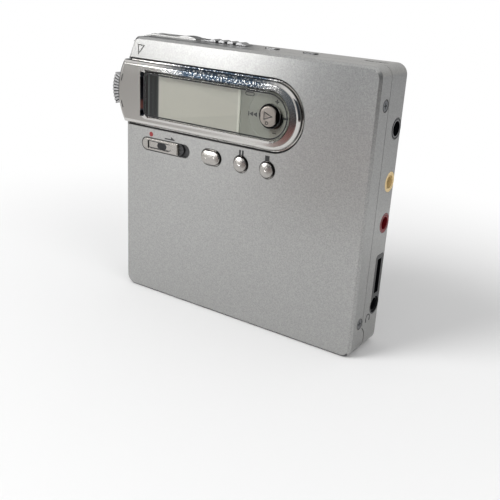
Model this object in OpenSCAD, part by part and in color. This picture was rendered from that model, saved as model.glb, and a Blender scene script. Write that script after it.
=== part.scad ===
// Portable minidisc recorder, standing on its bottom edge as it does in use.
// Millimetres. X runs to the right, +Z up, and the display looks along -Y.
// The origin is the centre of the body's footprint. Depths in the helpers
// are measured back from the front face, and outlines are drawn as (x, z).

/* [Body] */
// Width of the body
body_w = 82; // [81.6:0.1:82.4]
// Height of the body
body_h = 78; // [78:0.1:78.3]
// Depth of the body
body_d = 15.5; // [15.5:0.1:15.8]
// Radius of the body's corners, seen from the front
corner_r = 3; // [2.8:0.1:3.2]
// Radius of the rear edges
rear_r = 0.6; // [0.5:0.1:0.8]
// Thickness of the side walls
wall = 1; // [0.9:0.05:1.1]

/* [Lid] */
// Depth of the lid, from the front face to the seam
lid_d = 5.9; // [5.8:0.05:6]
// Thickness of the lid's front
lid_t = 0.8; // [0.7:0.05:0.9]
// Polished chamfer round the lid's front
lid_chamfer = 0.7; // [0.4:0.1:0.7]
// Depth of the hinge axis behind the front face
hinge_d = 3.6; // [3.5:0.05:3.7]
// Height of the hinge axis
hinge_z = 4; // [4:0.05:4.1]

/* [Display] */
// Height of the display block
bezel_h = 18.3; // [18:0.1:18.6]
// Height of the display block's middle line
bezel_z = 62; // [61.8:0.1:62.2]
// Centre of the display block's round right end
bezel_end_x = 11; // [10.8:0.1:11.2]
// Gap between the display block and the lid
bezel_gap = 0.3; // [0.2:0.05:0.35]
// How far the display block stands in front of the lid
bezel_rise = 1.1; // [0.9:0.1:1.2]
// Radius of the window's round right end
window_r = 6.4; // [6.2:0.1:6.5]
// Left edge of the window
window_left_x = -33.8; // [-34:0.1:-33.5]

/* [Controls] */
// Radius of the pause and stop buttons
button_r = 2.1; // [2:0.05:2.2]
// Half the height of the group button
group_half = 1.95; // [1.9:0.05:2.1]
// Height of the button row
button_z = 47.4; // [47.2:0.1:47.6]
// Radius of the control key's cap
key_r = 2.8; // [2.7:0.05:2.85]
// Travel of the record slider
rec_travel = 2.2; // [1.8:0.1:2.2]
// Travel of the opening slider
open_travel = 3; // [2:0.5:3]

/* [Sockets] */
// Bore radius of the 3.5 mm sockets
socket_r = 1.8; // [1.78:0.01:1.82]
// Depth of the sockets' axes behind the front face
socket_d = 12.4; // [12.35:0.05:12.4]
// Height of the line socket
line_z = 47.8; // [47.5:0.1:48]
// Height of the microphone socket
mic_z = 36.4; // [36.2:0.1:36.6]
// Height of the power socket
power_z = 61.9; // [61.7:0.1:62.1]
// Height of the headphone socket
phones_z = 12.5; // [12.4:0.1:12.7]

/* [Hidden] */
$fn = 48;
half_w = body_w / 2;
eps = 0.01;
seam = 0.15;

// Disc bay: a 72 x 68 x 5 cartridge
bay_half_w = 36.4;
bay_front_d = 4.9;
bay_bottom_z = 6.9;
bay_top_z = 75;
bar_top_z = 3.2;
top_bar_z = bay_top_z + 0.2;
disc_z = 41;

// Lid hinge
cheek_r = 3.95;
boss_r = 2.4;
ear_r = 2;
pin_r = 0.8;
sweep_r = cheek_r + 0.3;
skin_end_angle = 58;
ear_x0 = 33.6;
ear_x1 = 36.9;

// Slanted upper left corner of the lid
slant_angle = 24.3;
slant_low_z = 70;
slant_r = 2.2;
slant_z = body_h - slant_r;
slant_x = -half_w + (slant_r + (slant_z - slant_low_z) * sin(slant_angle)) / cos(slant_angle);

// Display block
bezel_arc_r = 17.5;
bezel_left_x = -43.7;
bezel_join_x = -38;
bezel_floor_d = -0.3;
opening_bevel = 0.55;
bezel_edge_r = 1.2;
lip = 0.7;
window_end_x = 10;
window_z = 61.9;
window_corner_r = 1.6;
window_back_d = 0.5;
pane_gap = 0.2;
dial_x = 9.7;
dial_r = 6.3;
key_x = 10.6;
key_well_r = 3.35;
key_flat = 2.35;
key_plate_x = 0.9;

// Jog lever
jog_x = -38;
jog_z = 62;
jog_r = 9.3;
jog_ribs = 9;
jog_rib_step = 6.5;

// Button row
group_x = -8.4;
group_len = 6.4;
pause_x = 1.85;
stop_x = 10.6;
button_gap = 0.3;
rec_x0 = -34.4;
rec_x1 = -16.4;
rec_half_h = 1.85;
rec_knob_x1 = -20.5;
rec_tip_x = rec_x1 - rec_travel - 0.1;

// Sockets
collar_r = 2.75;
phones_half = 2.35;
phones_top_z = phones_z + 15;

// Layers behind the lid's front
board_d0 = 2.95;
board_d1 = 3.35;
frame_d1 = 3.85;

// Holder pivot and head arm pivot, as (depth, height)
holder_pivot = [8.6, 8.5];
arm_pivot = [4.9, 4.35];

// Mechanism
chassis_d0 = 10.9;
chassis_d1 = 11.25;
shaft_d = 13.1;
shaft_r = 0.75;
lower_shaft_z = 33.4;
upper_shaft_z = 50.4;
screw_z = 29.8;
sled_x = -14.5;
case_back_d = body_d - 0.6;
spindle_r = 9;

// Top edge
slider_x0 = -19.4;
slider_x1 = -3.7;
slider_rib_pitch = 3;
latch_hooks = [-26, 22.2];
search_x = 3.5;
mark_x = 15.5;
hold_x = 35.6;
top_key_d = 9.9;

screw_corners = [[-37, 5.2], [37, 5.2], [-37, 73.2], [37, 73.2]];
// Screws in the lid's sides, as (side, height)
side_screws = [[-1, 9.3], [-1, 36], [1, 9.3], [1, 68.5]];
side_screw_d = 4.1;
side_head_r = 1.35;
board_posts = [[13, 10], [25.5, 10], [13, 62], [25.5, 62]];
dampers = [[-34.3, 11], [8.3, 11.5], [8.3, 51], [-34.3, 26.3]];

silver = "#b4b4b2";
satin = "#c9c9cb";
steel = "#9a9ca0";
black = "#1d1e20";
board_green = "#1f5a3c";
gold = "#c9a24a";

// Helpers. A depth becomes a Y here and nowhere else.
function dy(d) = d - body_d / 2;

// An (x, z) outline from depth d0 to depth d1
module plate(d0, d1)
    translate([0, dy(d1), 0]) rotate([90, 0, 0]) linear_extrude(d1 - d0) children();

// A (depth, height) outline from x0 to x1
module side_plate(x0, x1)
    translate([x0, dy(0), 0]) rotate([90, 0, 90]) linear_extrude(x1 - x0) children();

module slab(x0, x1, d0, d1, z0, z1)
    translate([x0, dy(d0), z0]) cube([x1 - x0, d1 - d0, z1 - z0]);

module peg_y(x, z, r, d0, d1)
    translate([x, dy(d1), z]) rotate([90, 0, 0]) cylinder(r = r, h = d1 - d0);

module peg_x(d, z, r, x0, x1)
    translate([x0, dy(d), z]) rotate([0, 90, 0]) cylinder(r = r, h = x1 - x0);

module peg_z(x, d, r, z0, z1)
    translate([x, dy(d), z0]) cylinder(r = r, h = z1 - z0);

// A turned shape whose local +Z points to the front
module turned(x, z, d) translate([x, dy(d), z]) rotate([90, 0, 0]) children();

module both_sides() {
    children();
    mirror([1, 0, 0]) children();
}

// Half of a cap's section, from its middle line outwards: the face is at
// height front, its edge is rounded, and a crown radius makes it domed
module cap_section(half, back, front, edge, crown = 0) intersection() {
    union() {
        translate([0, -back]) square([half, back + front - edge]);
        translate([0, -back]) square([half - edge, back + front]);
        translate([half - edge, front - edge]) circle(edge);
    }
    if (crown > 0) translate([0, front - crown]) circle(crown, $fn = 96);
    else translate([0, -back - 1]) square([half + 1, back + front + 2]);
}

// A bar along x with that section on both sides of its middle line
module cap_bar(x0, x1, z) side_plate(x0, x1) translate([0, z])
    for (m = [0, 1]) mirror([0, m]) rotate(90) children();

module rounded(x0, x1, z0, z1, r) {
    translate([x0 + r, z0]) square([x1 - x0 - 2 * r, z1 - z0]);
    translate([x0, z0 + r]) square([x1 - x0, z1 - z0 - 2 * r]);
    for (x = [x0 + r, x1 - r], z = [z0 + r, z1 - r]) translate([x, z]) circle(r);
}

// A bar with round ends, along x
module stadium(x0, x1, z, r) {
    translate([x0 + r, z - r]) square([x1 - x0 - 2 * r, 2 * r]);
    for (x = [x0 + r, x1 - r]) translate([x, z]) circle(r);
}

module case_outline(i = 0)
    rounded(-half_w + i, half_w - i, i, body_h - i, corner_r - i);

// The lid's outline has one slanted corner. Its round corners are [centre,
// radius, direction of the arc's start, arc], clockwise from the lower left.
lid_corners = [
    [[-half_w + corner_r, corner_r], corner_r, 180, 90],
    [[slant_x, slant_z], slant_r, 90, 90 - slant_angle],
    [[half_w - corner_r, body_h - corner_r], corner_r, 0, 90],
    [[half_w - corner_r, corner_r], corner_r, 270, 90]];
slant_low = [-half_w, slant_low_z];

function on_corner(c, angle, i) = c[0] + (c[1] - i) * [cos(angle), sin(angle)];

// The points where the corner arcs begin and end, in order
function lid_points(i) = concat(
    [on_corner(lid_corners[0], 270, i), on_corner(lid_corners[0], 180, i)],
    [slant_low + [i, -i * (1 - cos(slant_angle)) / sin(slant_angle)]],
    [on_corner(lid_corners[1], 180 - slant_angle, i), on_corner(lid_corners[1], 90, i)],
    [on_corner(lid_corners[2], 90, i), on_corner(lid_corners[2], 0, i)],
    [on_corner(lid_corners[3], 360, i), on_corner(lid_corners[3], 270, i)]);

module lid_outline(i = 0) {
    polygon(lid_points(i));
    for (c = lid_corners) translate(c[0]) circle(c[1] - i);
}

// The wedge that bevels one straight edge, and the ring that bevels a corner
module edge_bevel(a, b) {
    t = 0.2;
    translate([a[0], dy(0), a[1]]) rotate([0, -atan2(b[1] - a[1], b[0] - a[0]), 0])
        rotate([90, 0, 90]) linear_extrude(norm(b - a))
        polygon([[-t, -lid_chamfer - t], [lid_chamfer, 0], [lid_chamfer, 1], [-t, 1]]);
}

module corner_bevel(c) intersection() {
    t = 0.2;
    turned(c[0][0], c[0][1], 0) rotate_extrude()
        polygon([[c[1] - lid_chamfer - t, t], [c[1] + 1, t], [c[1] + 1, -lid_chamfer],
            [c[1], -lid_chamfer]]);
    plate(-1, 1) polygon([c[0], on_corner(c, c[2], -3), on_corner(c, c[2] + c[3] / 2, -5),
        on_corner(c, c[2] + c[3], -3)]);
}

module lid_bevels() {
    p = lid_points(0);
    for (i = [1, 2, 4, 6, 8]) edge_bevel(p[i % 9], p[(i + 1) % 9]);
    for (c = lid_corners) corner_bevel(c);
}

// The display block: a round right end and a shallow arc on the left
module bezel_outline(i = 0) {
    half = bezel_h / 2 - i;
    translate([bezel_end_x, bezel_z]) circle(half);
    translate([bezel_join_x, bezel_z - half])
        square([bezel_end_x - bezel_join_x, 2 * half]);
    intersection() {
        translate([bezel_left_x + bezel_arc_r, bezel_z]) circle(bezel_arc_r - i);
        translate([-half_w - 5, bezel_z - half]) square([half_w + 5 + bezel_join_x + 1, 2 * half]);
    }
}

// A triangle drawn as a line of width t
module triangle_line(p, t) {
    sides = [norm(p[1] - p[2]), norm(p[2] - p[0]), norm(p[0] - p[1])];
    total = sides[0] + sides[1] + sides[2];
    centre = (sides[0] * p[0] + sides[1] * p[1] + sides[2] * p[2]) / total;
    inner_r = abs(cross(p[1] - p[0], p[2] - p[0])) / total;
    difference() {
        polygon(p);
        polygon([for (q = p) centre + (q - centre) * (1 - t / inner_r)]);
    }
}

module window_outline(grow = 0) {
    r = window_r + grow;
    c = window_corner_r + grow;
    x0 = window_left_x - grow;
    translate([window_end_x, window_z]) circle(r);
    translate([x0 + c, window_z - r]) square([window_end_x - x0 - c, 2 * r]);
    translate([x0, window_z - r + c]) square([c + 1, 2 * (r - c)]);
    for (s = [-1, 1]) translate([x0 + c, window_z + s * (r - c)]) circle(c);
}

// Base: rear case and what it carries

// The case's outer form: corners seen from the front, and a smaller radius
// on the rear edges
module rear_block(d0, d1) {
    d = d1 - rear_r;
    x = half_w - corner_r;
    plate(d0, d) case_outline();
    plate(d - eps, d1) case_outline(rear_r);
    for (z = [rear_r, body_h - rear_r]) peg_x(d, z, rear_r, -x, x);
    for (s = [-1, 1]) {
        peg_z(s * (half_w - rear_r), d, rear_r, corner_r, body_h - corner_r);
        for (z = [corner_r, body_h - corner_r]) turned(s * x, z, d)
            rotate_extrude() translate([corner_r - rear_r, 0]) circle(rear_r);
    }
}

module phones_outline(g = 0) {
    half = phones_half + g;
    translate([socket_d, phones_z]) circle(collar_r + g);
    polygon([[socket_d - half, phones_z], [socket_d + half, phones_z],
        [socket_d + half, phones_top_z - 0.7], [socket_d + half - 0.7, phones_top_z + g],
        [socket_d - half + 0.7, phones_top_z + g], [socket_d - half, phones_top_z - 0.7]]);
}

// Space for the sockets' collars, in the case and in the frame's rail
module socket_room(g) {
    for (z = [line_z, mic_z, power_z]) peg_x(socket_d, z, collar_r + g, half_w - 2.6, half_w + 1);
    side_plate(half_w - 2.6, half_w + 1) phones_outline(g);
}

module rear_case() color(silver) difference() {
    union() {
        difference() {
            rear_block(lid_d + seam, body_d);
            plate(lid_d - 1, case_back_d) case_outline(wall);
        }
        for (p = board_posts) peg_y(p[0], p[1], 1.2, 13.8, case_back_d + eps);
        for (p = screw_corners) peg_y(p[0], p[1], 1.9, case_back_d - 1.2, case_back_d + 0.3);
    }
    // Room for the lid's hinge corner
    peg_x(hinge_d, hinge_z, sweep_r, -half_w - 1, half_w + 1);
    // Sockets
    socket_room(0.08);
    // Top edge: slider slot, two keys, hold switch
    slab(-15.2, -9 + open_travel + 0.2, 8.6, 10, body_h - 2, body_h + 1);
    for (x = [search_x, mark_x]) top_key_slot(x, 2.2 + 0.12, 0.9 + 0.12, body_h - 3, body_h + 1);
    slab(hold_x - 4.2, hold_x + 2.1, 9.2, 10.6, body_h - 2, body_h + 1);
    // Bottom edge: charging contacts
    slab(8, 20, 9, 12, -1, wall + 1);
    // Screws in the back, countersunk
    for (p = screw_corners) {
        peg_y(p[0], p[1], 0.75, 10, body_d + 1);
        peg_y(p[0], p[1], 1.45, body_d - 0.5, body_d + 1);
    }
}

module top_key_slot(x, half_len, r, z0, z1) {
    slab(x - half_len + r, x + half_len - r, top_key_d - r, top_key_d + r, z0, z1);
    for (s = [-1, 1]) peg_z(x + s * (half_len - r), top_key_d, r, z0, z1);
}

// Side rails with the posts that take the screws in the back
module side_rails() color("#8b8d90") difference() {
    union() {
        both_sides() slab(bay_half_w + 0.7, half_w - wall - 0.1, 6.15, 10.45, bar_top_z, top_bar_z);
        for (p = screw_corners) peg_y(p[0], p[1], 1.8, 10.6, case_back_d - 1.2);
        both_sides() for (p = [screw_corners[1], screw_corners[3]])
            slab(bay_half_w + 0.7, 38.8, 10.3, 10.8, p[1] - 1.8, p[1] + 1.8);
    }
    for (p = screw_corners) peg_y(p[0], p[1], 0.65, 11.2, body_d);
    // Room for the lid's hinge corner and for the sockets
    peg_x(hinge_d, hinge_z, sweep_r, -half_w, half_w);
    socket_room(0.15);
    // Holder pivots
    both_sides() peg_x(holder_pivot[0], holder_pivot[1], 0.55, bay_half_w, bay_half_w + 2);
    // Grooves that lighten the rails
    both_sides() for (z = [14, 30, 46, 62])
        slab(bay_half_w + 1.5, half_w - wall - 0.9, 5, 7.6, z, z + 11);
}

// Bars that join the rails below and above the disc bay
module cross_bars() color("#8b8d90") difference() {
    union() {
        intersection() {
            slab(-half_w, half_w, 8.4, 10.45, wall, bar_top_z - eps);
            plate(6, 11) case_outline(wall + 0.05);
        }
        slab(-bay_half_w - 1, bay_half_w + 1, 10.15, 10.75, top_bar_z + eps, top_bar_z + 0.7);
    }
    peg_x(hinge_d, hinge_z, sweep_r, -half_w, half_w);
}

module hinge_brackets() color(steel) both_sides() difference() {
    union() {
        peg_x(hinge_d, hinge_z, ear_r, ear_x0, ear_x1);
        slab(ear_x0, ear_x1, hinge_d, 10.1, 3.2, 5.4);
    }
    peg_x(hinge_d, hinge_z, pin_r + 0.02, ear_x0 - 1, ear_x1 + 1);
    peg_z(35.3, 9, 0.6, 2, 7);
}

module hinge_pins() color("#d0d2d4") both_sides() {
    peg_x(hinge_d, hinge_z, pin_r, ear_x0 - 0.4, 39.5);
    peg_x(hinge_d, hinge_z, pin_r + 0.4, ear_x0 - 0.4, ear_x0 - 0.05);
}

module chassis_plate() color("#b9bcc0") difference() {
    union() {
        plate(chassis_d0, chassis_d1) difference() {
            rounded(-35.2, 10.6, 9, 73.4, 1);
            // Slot for the lens, hole for the spindle, lightening holes
            translate([-33.4, 38.2]) square([21.6, 5.6]);
            translate([0, disc_z]) circle(2.4);
            for (x = [-31, -20, -9]) stadium(x, x + 8, 16, 2);
            for (x = [-31, -20]) stadium(x, x + 8, 24, 2);
            for (x = [-32, -17, -2]) stadium(x, x + 9, 63, 3);
        }
        // Folded edges stiffen the plate
        slab(-8, 6, chassis_d1 - eps, 12.2, 9, 9.35);
        slab(-34, 9, chassis_d1 - eps, 12.2, 73.05, 73.4);
    }
    // Disc locating holes
    for (x = [-30, 5]) peg_y(x, 12.5, 0.9, 10, 12);
}

module rubber_dampers() color(black) for (p = dampers) difference() {
    peg_y(p[0], p[1], 1.5, chassis_d1, case_back_d);
    peg_y(p[0], p[1], 0.6, chassis_d1 - 1, case_back_d - 1);
    turned(p[0], p[1], 13.4) rotate_extrude() translate([1.6, 0]) circle(0.45);
}

module spindle_motor() color(steel) difference() {
    union() {
        peg_y(0, disc_z, spindle_r, 12, 14.3);
        peg_y(0, disc_z, 6, chassis_d1, 12.1);
        peg_y(0, disc_z, 3, 14.2, case_back_d);
    }
    peg_y(0, disc_z, 0.8, 9, 14.4);
    for (a = [0:60:300]) peg_y(7.3 * cos(a + 30), disc_z + 7.3 * sin(a + 30), 0.7, 11.5, 12.6);
}

module sled_motor() color("#a8aaac") difference() {
    union() {
        peg_x(shaft_d, screw_z, 1.7, -7, 7);
        peg_x(shaft_d, screw_z, 0.8, -7.5, -6.9);
        slab(-4, 4, chassis_d1, 12.2, screw_z - 1.3, screw_z + 1.3);
    }
    peg_x(shaft_d, screw_z, 0.45, -8, -4.5);
}

module guide_shafts() color("#dcdee0") for (z = [lower_shaft_z, upper_shaft_z])
    peg_x(shaft_d, z, shaft_r, -36.2, -7.3);

module shaft_holders() color(steel) difference() {
    union() {
        for (z = [lower_shaft_z, upper_shaft_z], x = [-36.2, -8.3]) {
            peg_x(shaft_d, z, 1.15, x, x + 1);
            slab(x, x + 1, chassis_d1, shaft_d, z - 1.15, z + 1.15);
        }
        slab(-36.2, -35.4, chassis_d1, 14.2, screw_z - 1.3, screw_z + 1.2);
        // Left ends stand beside the plate, joined to it by a foot
        slab(-36.2, -35.2, chassis_d1, 11.6, screw_z - 1.3, upper_shaft_z + 1.15);
    }
    for (z = [lower_shaft_z, upper_shaft_z]) peg_x(shaft_d, z, shaft_r + 0.02, -40, 0);
    peg_x(shaft_d, screw_z, 0.45, -37, -35);
}

module main_board() color(board_green) difference() {
    union() {
        slab(11, 27.5, 13.3, 13.8, 8, 64);
        slab(11, 38, 13.3, 13.8, 65.4, 71);
        slab(11, 27.5, 13.3, 13.8, 63.9, 65.5);
    }
    for (p = board_posts) peg_y(p[0], p[1], 0.5, 13, 14);
}

module board_chips() color(black) {
    slab(12.2, 21.2, 12.1, 13.3, 42, 51);
    slab(13, 20, 12.2, 13.3, 29, 38);
    slab(22.5, 26.5, 12.3, 13.3, 30, 36);
    slab(13, 18, 12.3, 13.3, 18, 24);
    slab(20.5, 26.5, 12.3, 13.3, 17, 22);
    slab(14, 24, 12.3, 13.3, 54, 59);
    slab(30, 35, 12.3, 13.3, 66.2, 70);
    for (z = [12:2:16]) slab(16, 18.4, 12.6, 13.3, z - 0.5, z + 0.5);
}

module board_shield() color("#c4c6c8") difference() {
    union() {
        slab(11, 27.6, 10.9, 11.15, 9, 66);
        slab(11, 27.6, 10.9, 11.15, 65, 72.5);
        slab(11, 11.25, 11, 13.3, 14, 40);
    }
    for (x = [15, 19.5, 24], z = [20:6:62]) peg_y(x, z, 0.9, 10, 12);
}

module battery_cell() color("#4a6fa5") {
    plate(11.4, case_back_d) rounded(-35, 7.5, 54, 72.8, 1.6);
    slab(7.5, 9.2, 12, 14.2, 56, 70);
}

// A 3.5 mm socket: block, collar through the wall, and solder legs
module socket(z, collar_color) difference() {
    union() {
        color(black) slab(28.6, half_w - 2.1, 10.5, 14.75, z - 2.7, z + 2.7);
        color(collar_color) peg_x(socket_d, z, collar_r, half_w - 2.2, half_w);
        socket_legs(z, 1.6);
    }
    peg_x(socket_d, z, socket_r, half_w - 12, half_w + 1);
    // Rounded lip at the mouth
    translate([half_w, dy(socket_d), z]) rotate([0, 90, 0])
        rotate_extrude() translate([2.2, 0.05]) circle(0.2);
}

module socket_legs(z, spread) color(gold) for (s = [-1, 1])
    slab(26.8, 28.7, 13.8, 14.05, z + s * spread - 0.4, z + s * spread + 0.4);

module line_in_jack() socket(line_z, "#d9c08c");

module mic_jack() socket(mic_z, "#7a1a20");

// A small coaxial socket with a centre pin, and a groove round its metal ring
module power_jack() difference() {
    union() {
        color(black) {
            slab(28.6, half_w - 2.1, 10.5, 14.75, power_z - 3, power_z + 3);
            peg_x(socket_d, power_z, collar_r, half_w - 2.2, half_w);
        }
        socket_legs(power_z, 2);
    }
    difference() {
        peg_x(socket_d, power_z, 1.95, half_w - 9, half_w + 1);
        peg_x(socket_d, power_z, 0.45, half_w - 10, half_w - 1);
    }
    difference() {
        peg_x(socket_d, power_z, 2.5, half_w - 0.15, half_w + 1);
        peg_x(socket_d, power_z, 2.35, half_w - 1, half_w + 2);
    }
}

module phones_jack() color(black) difference() {
    union() {
        slab(28.6, half_w - 2.1, 10.5, 14.75, phones_z - 2.9, phones_z + 14.6);
        side_plate(half_w - 2.2, half_w) phones_outline();
        for (z = [phones_z, phones_z + 6, phones_z + 12])
            slab(26.8, 28.7, 13.8, 14.05, z - 0.4, z + 0.4);
    }
    peg_x(socket_d, phones_z, socket_r, half_w - 12, half_w + 1);
    // Dished mouth round the bore
    peg_x(socket_d, phones_z, 2.4, half_w - 0.4, half_w + 1);
    // Slot of the remote control's plug
    slab(half_w - 4.5, half_w + 1, 11.2, 13.6, phones_z + 3.6, phones_z + 13.7);
}

module contact_block() color(black) difference() {
    slab(8.1, 19.9, 9.1, 11.9, 0.15, wall);
    for (i = [0:3]) slab(9.1 + 2.7 * i, 10.8 + 2.7 * i, 9.6, 11.4, -1, 0.45);
}

module charge_contacts() color(gold) for (i = [0:3])
    slab(9.2 + 2.7 * i, 10.7 + 2.7 * i, 9.7, 11.3, 0.12, 0.45);

module case_screws() color(steel) for (p = screw_corners) difference() {
    union() {
        peg_y(p[0], p[1], 1.35, body_d - 0.5, body_d - 0.08);
        peg_y(p[0], p[1], 0.6, 11.6, body_d - 0.4);
    }
    slab(p[0] - 0.8, p[0] + 0.8, body_d - 0.3, body_d + 1, p[1] - 0.12, p[1] + 0.12);
    slab(p[0] - 0.12, p[0] + 0.12, body_d - 0.3, body_d + 1, p[1] - 0.8, p[1] + 0.8);
}

module ribbon_tail() color("#b07a3a") {
    difference() {
        peg_x(hinge_d, hinge_z, 1.1, -7, 7.5);
        peg_x(hinge_d, hinge_z, 0.9, -8, 8);
    }
    slab(1, 7.5, hinge_d, 13.1, hinge_z + 0.9, hinge_z + 1.1);
    slab(1, 7.5, 13.1, 13.3, hinge_z + 0.9, 9.4);
    slab(7.4, 13, 13.1, 13.3, 8.1, 9.4);
}

// A low rail beside the slider, with a guard that rises next to it
module top_rail() color(silver) difference() {
    union() {
        slab(-37.6, -20.9, 7.2, 12, body_h, body_h + 0.4);
        intersection() {
            peg_y(-24.6, body_h - 12.2, 13, 7.6, 11.4);
            slab(-30, -20.9, 7, 12, body_h, body_h + 2);
        }
    }
    slab(-38, -30.5, 8.8, 10.4, body_h + 0.2, body_h + 2);
}

module top_switches() color(black) for (x = [search_x, mark_x, hold_x])
    slab(x - 1.4, x + 1.4, 10.15, 10.75, bay_top_z + 0.9, bay_top_z + 1.05);

// Lid: front shell and what it carries

module hinge_skin_wedge()
    polygon([[hinge_d, hinge_z], [hinge_d, hinge_z - 6],
        [hinge_d + 6 * cos(skin_end_angle), hinge_z - 6 * sin(skin_end_angle)]]);

// Places a right-hand screw at each side screw
module at_side_screws() for (s = side_screws)
    translate([0, 0, s[1]]) mirror([s[0] < 0 ? 1 : 0, 0, 0]) children();

// Opening for the display block, in the front and the left wall. Its front
// edge is bevelled.
module block_opening() {
    half = bezel_h / 2 + bezel_gap;
    wide = half + opening_bevel + 0.2;
    plate(-1, 2) bezel_outline(-bezel_gap);
    slab(-50, -half_w + wall + 0.1, -1, board_d1, bezel_z - half, bezel_z + half);
    turned(bezel_end_x, bezel_z, opening_bevel)
        cylinder(r1 = half, r2 = wide, h = opening_bevel + 0.2);
    side_plate(-50, bezel_end_x) polygon([[opening_bevel, bezel_z - half], [-0.2, bezel_z - wide],
        [-0.2, bezel_z + wide], [opening_bevel, bezel_z + half]]);
}

module lid_panel() color(silver) difference() {
    union() {
        difference() {
            plate(0, lid_d) lid_outline();
            lid_bevels();
            plate(lid_t, lid_d + 1) lid_outline(wall);
            slab(-50, 50, hinge_d, lid_d + 1, -1, hinge_z);
        }
        // Hinge cheeks, bosses and the skin that closes the lower rear edge
        intersection() {
            union() {
                both_sides() peg_x(hinge_d, hinge_z, cheek_r, half_w - wall, half_w);
                both_sides() peg_x(hinge_d, hinge_z, boss_r, 37.2, half_w - wall + eps);
                intersection() {
                    difference() {
                        peg_x(hinge_d, hinge_z, cheek_r, -half_w, half_w);
                        peg_x(hinge_d, hinge_z, cheek_r - 0.8, -half_w - 1, half_w + 1);
                    }
                    side_plate(-half_w, half_w) hinge_skin_wedge();
                }
            }
            plate(lid_chamfer, 9) lid_outline();
        }
    }
    both_sides() peg_x(hinge_d, hinge_z, pin_r + 0.05, 36, 39.7);
    block_opening();
    // Buttons and record slider
    plate(-1, 2) stadium(group_x - group_len / 2 - button_gap, group_x + group_len / 2 + button_gap,
        button_z, group_half + button_gap);
    for (x = [pause_x, stop_x]) peg_y(x, button_z, button_r + button_gap, -1, 2);
    plate(-1, 2) stadium(rec_x0, rec_x1, button_z, rec_half_h);
    // Side screws
    at_side_screws() {
        peg_x(side_screw_d, 0, side_head_r + 0.3, half_w - 0.45, half_w + 1);
        peg_x(side_screw_d, 0, 0.75, half_w - 2, half_w + 1);
    }
    // Insertion mark, an engraved outline triangle
    plate(-1, 0.2) triangle_line([[-36.3, 75.9], [-33.5, 75.7], [-36.1, 72.8]], 0.35);
}

module lid_frame() color(steel) difference() {
    union() {
        intersection() {
            plate(board_d1, frame_d1) lid_outline(wall + 0.1);
            slab(-45, 45, 0, 6, 8.6, 80);
        }
        // Blocks that take the side screws
        at_side_screws() slab(37.7, half_w - wall, 2.6, 5.6, -1.8, 1.8);
        // Folded upper edge with a stiffening bead
        slab(-32, 36, frame_d1 - eps, 5.6, 75.9, 76.5);
        for (x = [-28, -4, 20]) plate(frame_d1 - eps, frame_d1 + 0.12) stadium(x, x + 8, 70, 1.2);
    }
    at_side_screws() peg_x(side_screw_d, 0, 0.65, 37, 42);
    // Notches where the latch hooks reach in
    for (x = latch_hooks) slab(x - 1.4, x + 6.2, frame_d1, 6, 75, 77);
    // Stamped openings
    plate(3, 4.5) for (z = [14, 24, 34]) stadium(12, 32, z, 2.2);
    plate(3, 4.5) stadium(-9, 9, 14, 2.2);
}

// The block's rounded body: a bar, a turned right end, and a left end that a
// large turned disc cuts to a shallow arc
module bezel_body() {
    arc_x = bezel_left_x + bezel_arc_r;
    turned(bezel_end_x, bezel_z, 0) rotate_extrude()
        cap_section(bezel_h / 2, 1.4, bezel_rise, bezel_edge_r);
    cap_bar(arc_x, bezel_end_x, bezel_z) cap_section(bezel_h / 2, 1.4, bezel_rise, bezel_edge_r);
    intersection() {
        cap_bar(-half_w - 5, arc_x + eps, bezel_z)
            cap_section(bezel_h / 2, 1.4, bezel_rise, bezel_edge_r);
        turned(arc_x, bezel_z, 0) rotate_extrude()
            cap_section(bezel_arc_r, 1.4, bezel_rise, bezel_edge_r, 0, $fn = 96);
    }
}

// A cone that widens towards the front by the lip's width
module lip_cone(x, z, r) turned(x, z, bezel_floor_d)
    cylinder(r1 = r, r2 = r + lip * 1.125, h = (bezel_rise + bezel_floor_d) * 1.125);

// The window's opening, with its sloped lip
module window_opening() {
    z0 = window_z - window_r;
    z1 = window_z + window_r;
    c = window_corner_r;
    front = bezel_floor_d - (bezel_rise + bezel_floor_d) * 1.125;
    wide = lip * 1.125;
    plate(-0.5, 1) window_outline();
    lip_cone(window_end_x, window_z, window_r);
    side_plate(window_left_x + c, window_end_x) polygon([[bezel_floor_d, z0], [front, z0 - wide],
        [front, z1 + wide], [bezel_floor_d, z1]]);
    for (z = [z0 + c, z1 - c]) lip_cone(window_left_x + c, z, c);
    translate([0, 0, z0 + c]) linear_extrude(z1 - z0 - 2 * c) polygon([
        [window_left_x, dy(bezel_floor_d)], [window_left_x - wide, dy(front)],
        [window_left_x + c + eps, dy(front)], [window_left_x + c + eps, dy(bezel_floor_d)]]);
}

module display_bezel() color(satin) difference() {
    union() {
        bezel_body();
        // Flange that holds the block from behind
        intersection() {
            plate(lid_t, 1.4) bezel_outline(-0.8);
            plate(0, 2) lid_outline(wall + 0.1);
        }
        // The left end goes deeper, beside the body
        intersection() {
            plate(0.5, board_d1 - 0.05) bezel_outline();
            slab(-50, -half_w - 0.05, -2, 6, 40, 80);
        }
    }
    window_opening();
    // Hollow behind the face
    plate(bezel_floor_d, 2.9) bezel_outline(0.9);
    // Slot of the jog lever
    slab(-50, -half_w - 1, 0.65, 2.85, jog_z - 4.7, jog_z + 4.7);
}

module display_window() color([0.85, 0.9, 0.9, 0.35]) difference() {
    union() {
        plate(bezel_floor_d, window_back_d) window_outline(0.85);
        plate(bezel_floor_d - 0.25, bezel_floor_d + 0.1) window_outline(-pane_gap);
    }
    peg_y(key_x, bezel_z, key_well_r, -2, 2);
}

module lcd_panel() color("#b3b1a5") {
    plate(window_back_d, 1.2) rounded(-33, key_plate_x - 0.3, 54.6, 69.2, 0.4);
    plate(1.2, 1.6) rounded(-32, key_plate_x - 0.9, 55, 68.8, 0.4);
}

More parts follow.
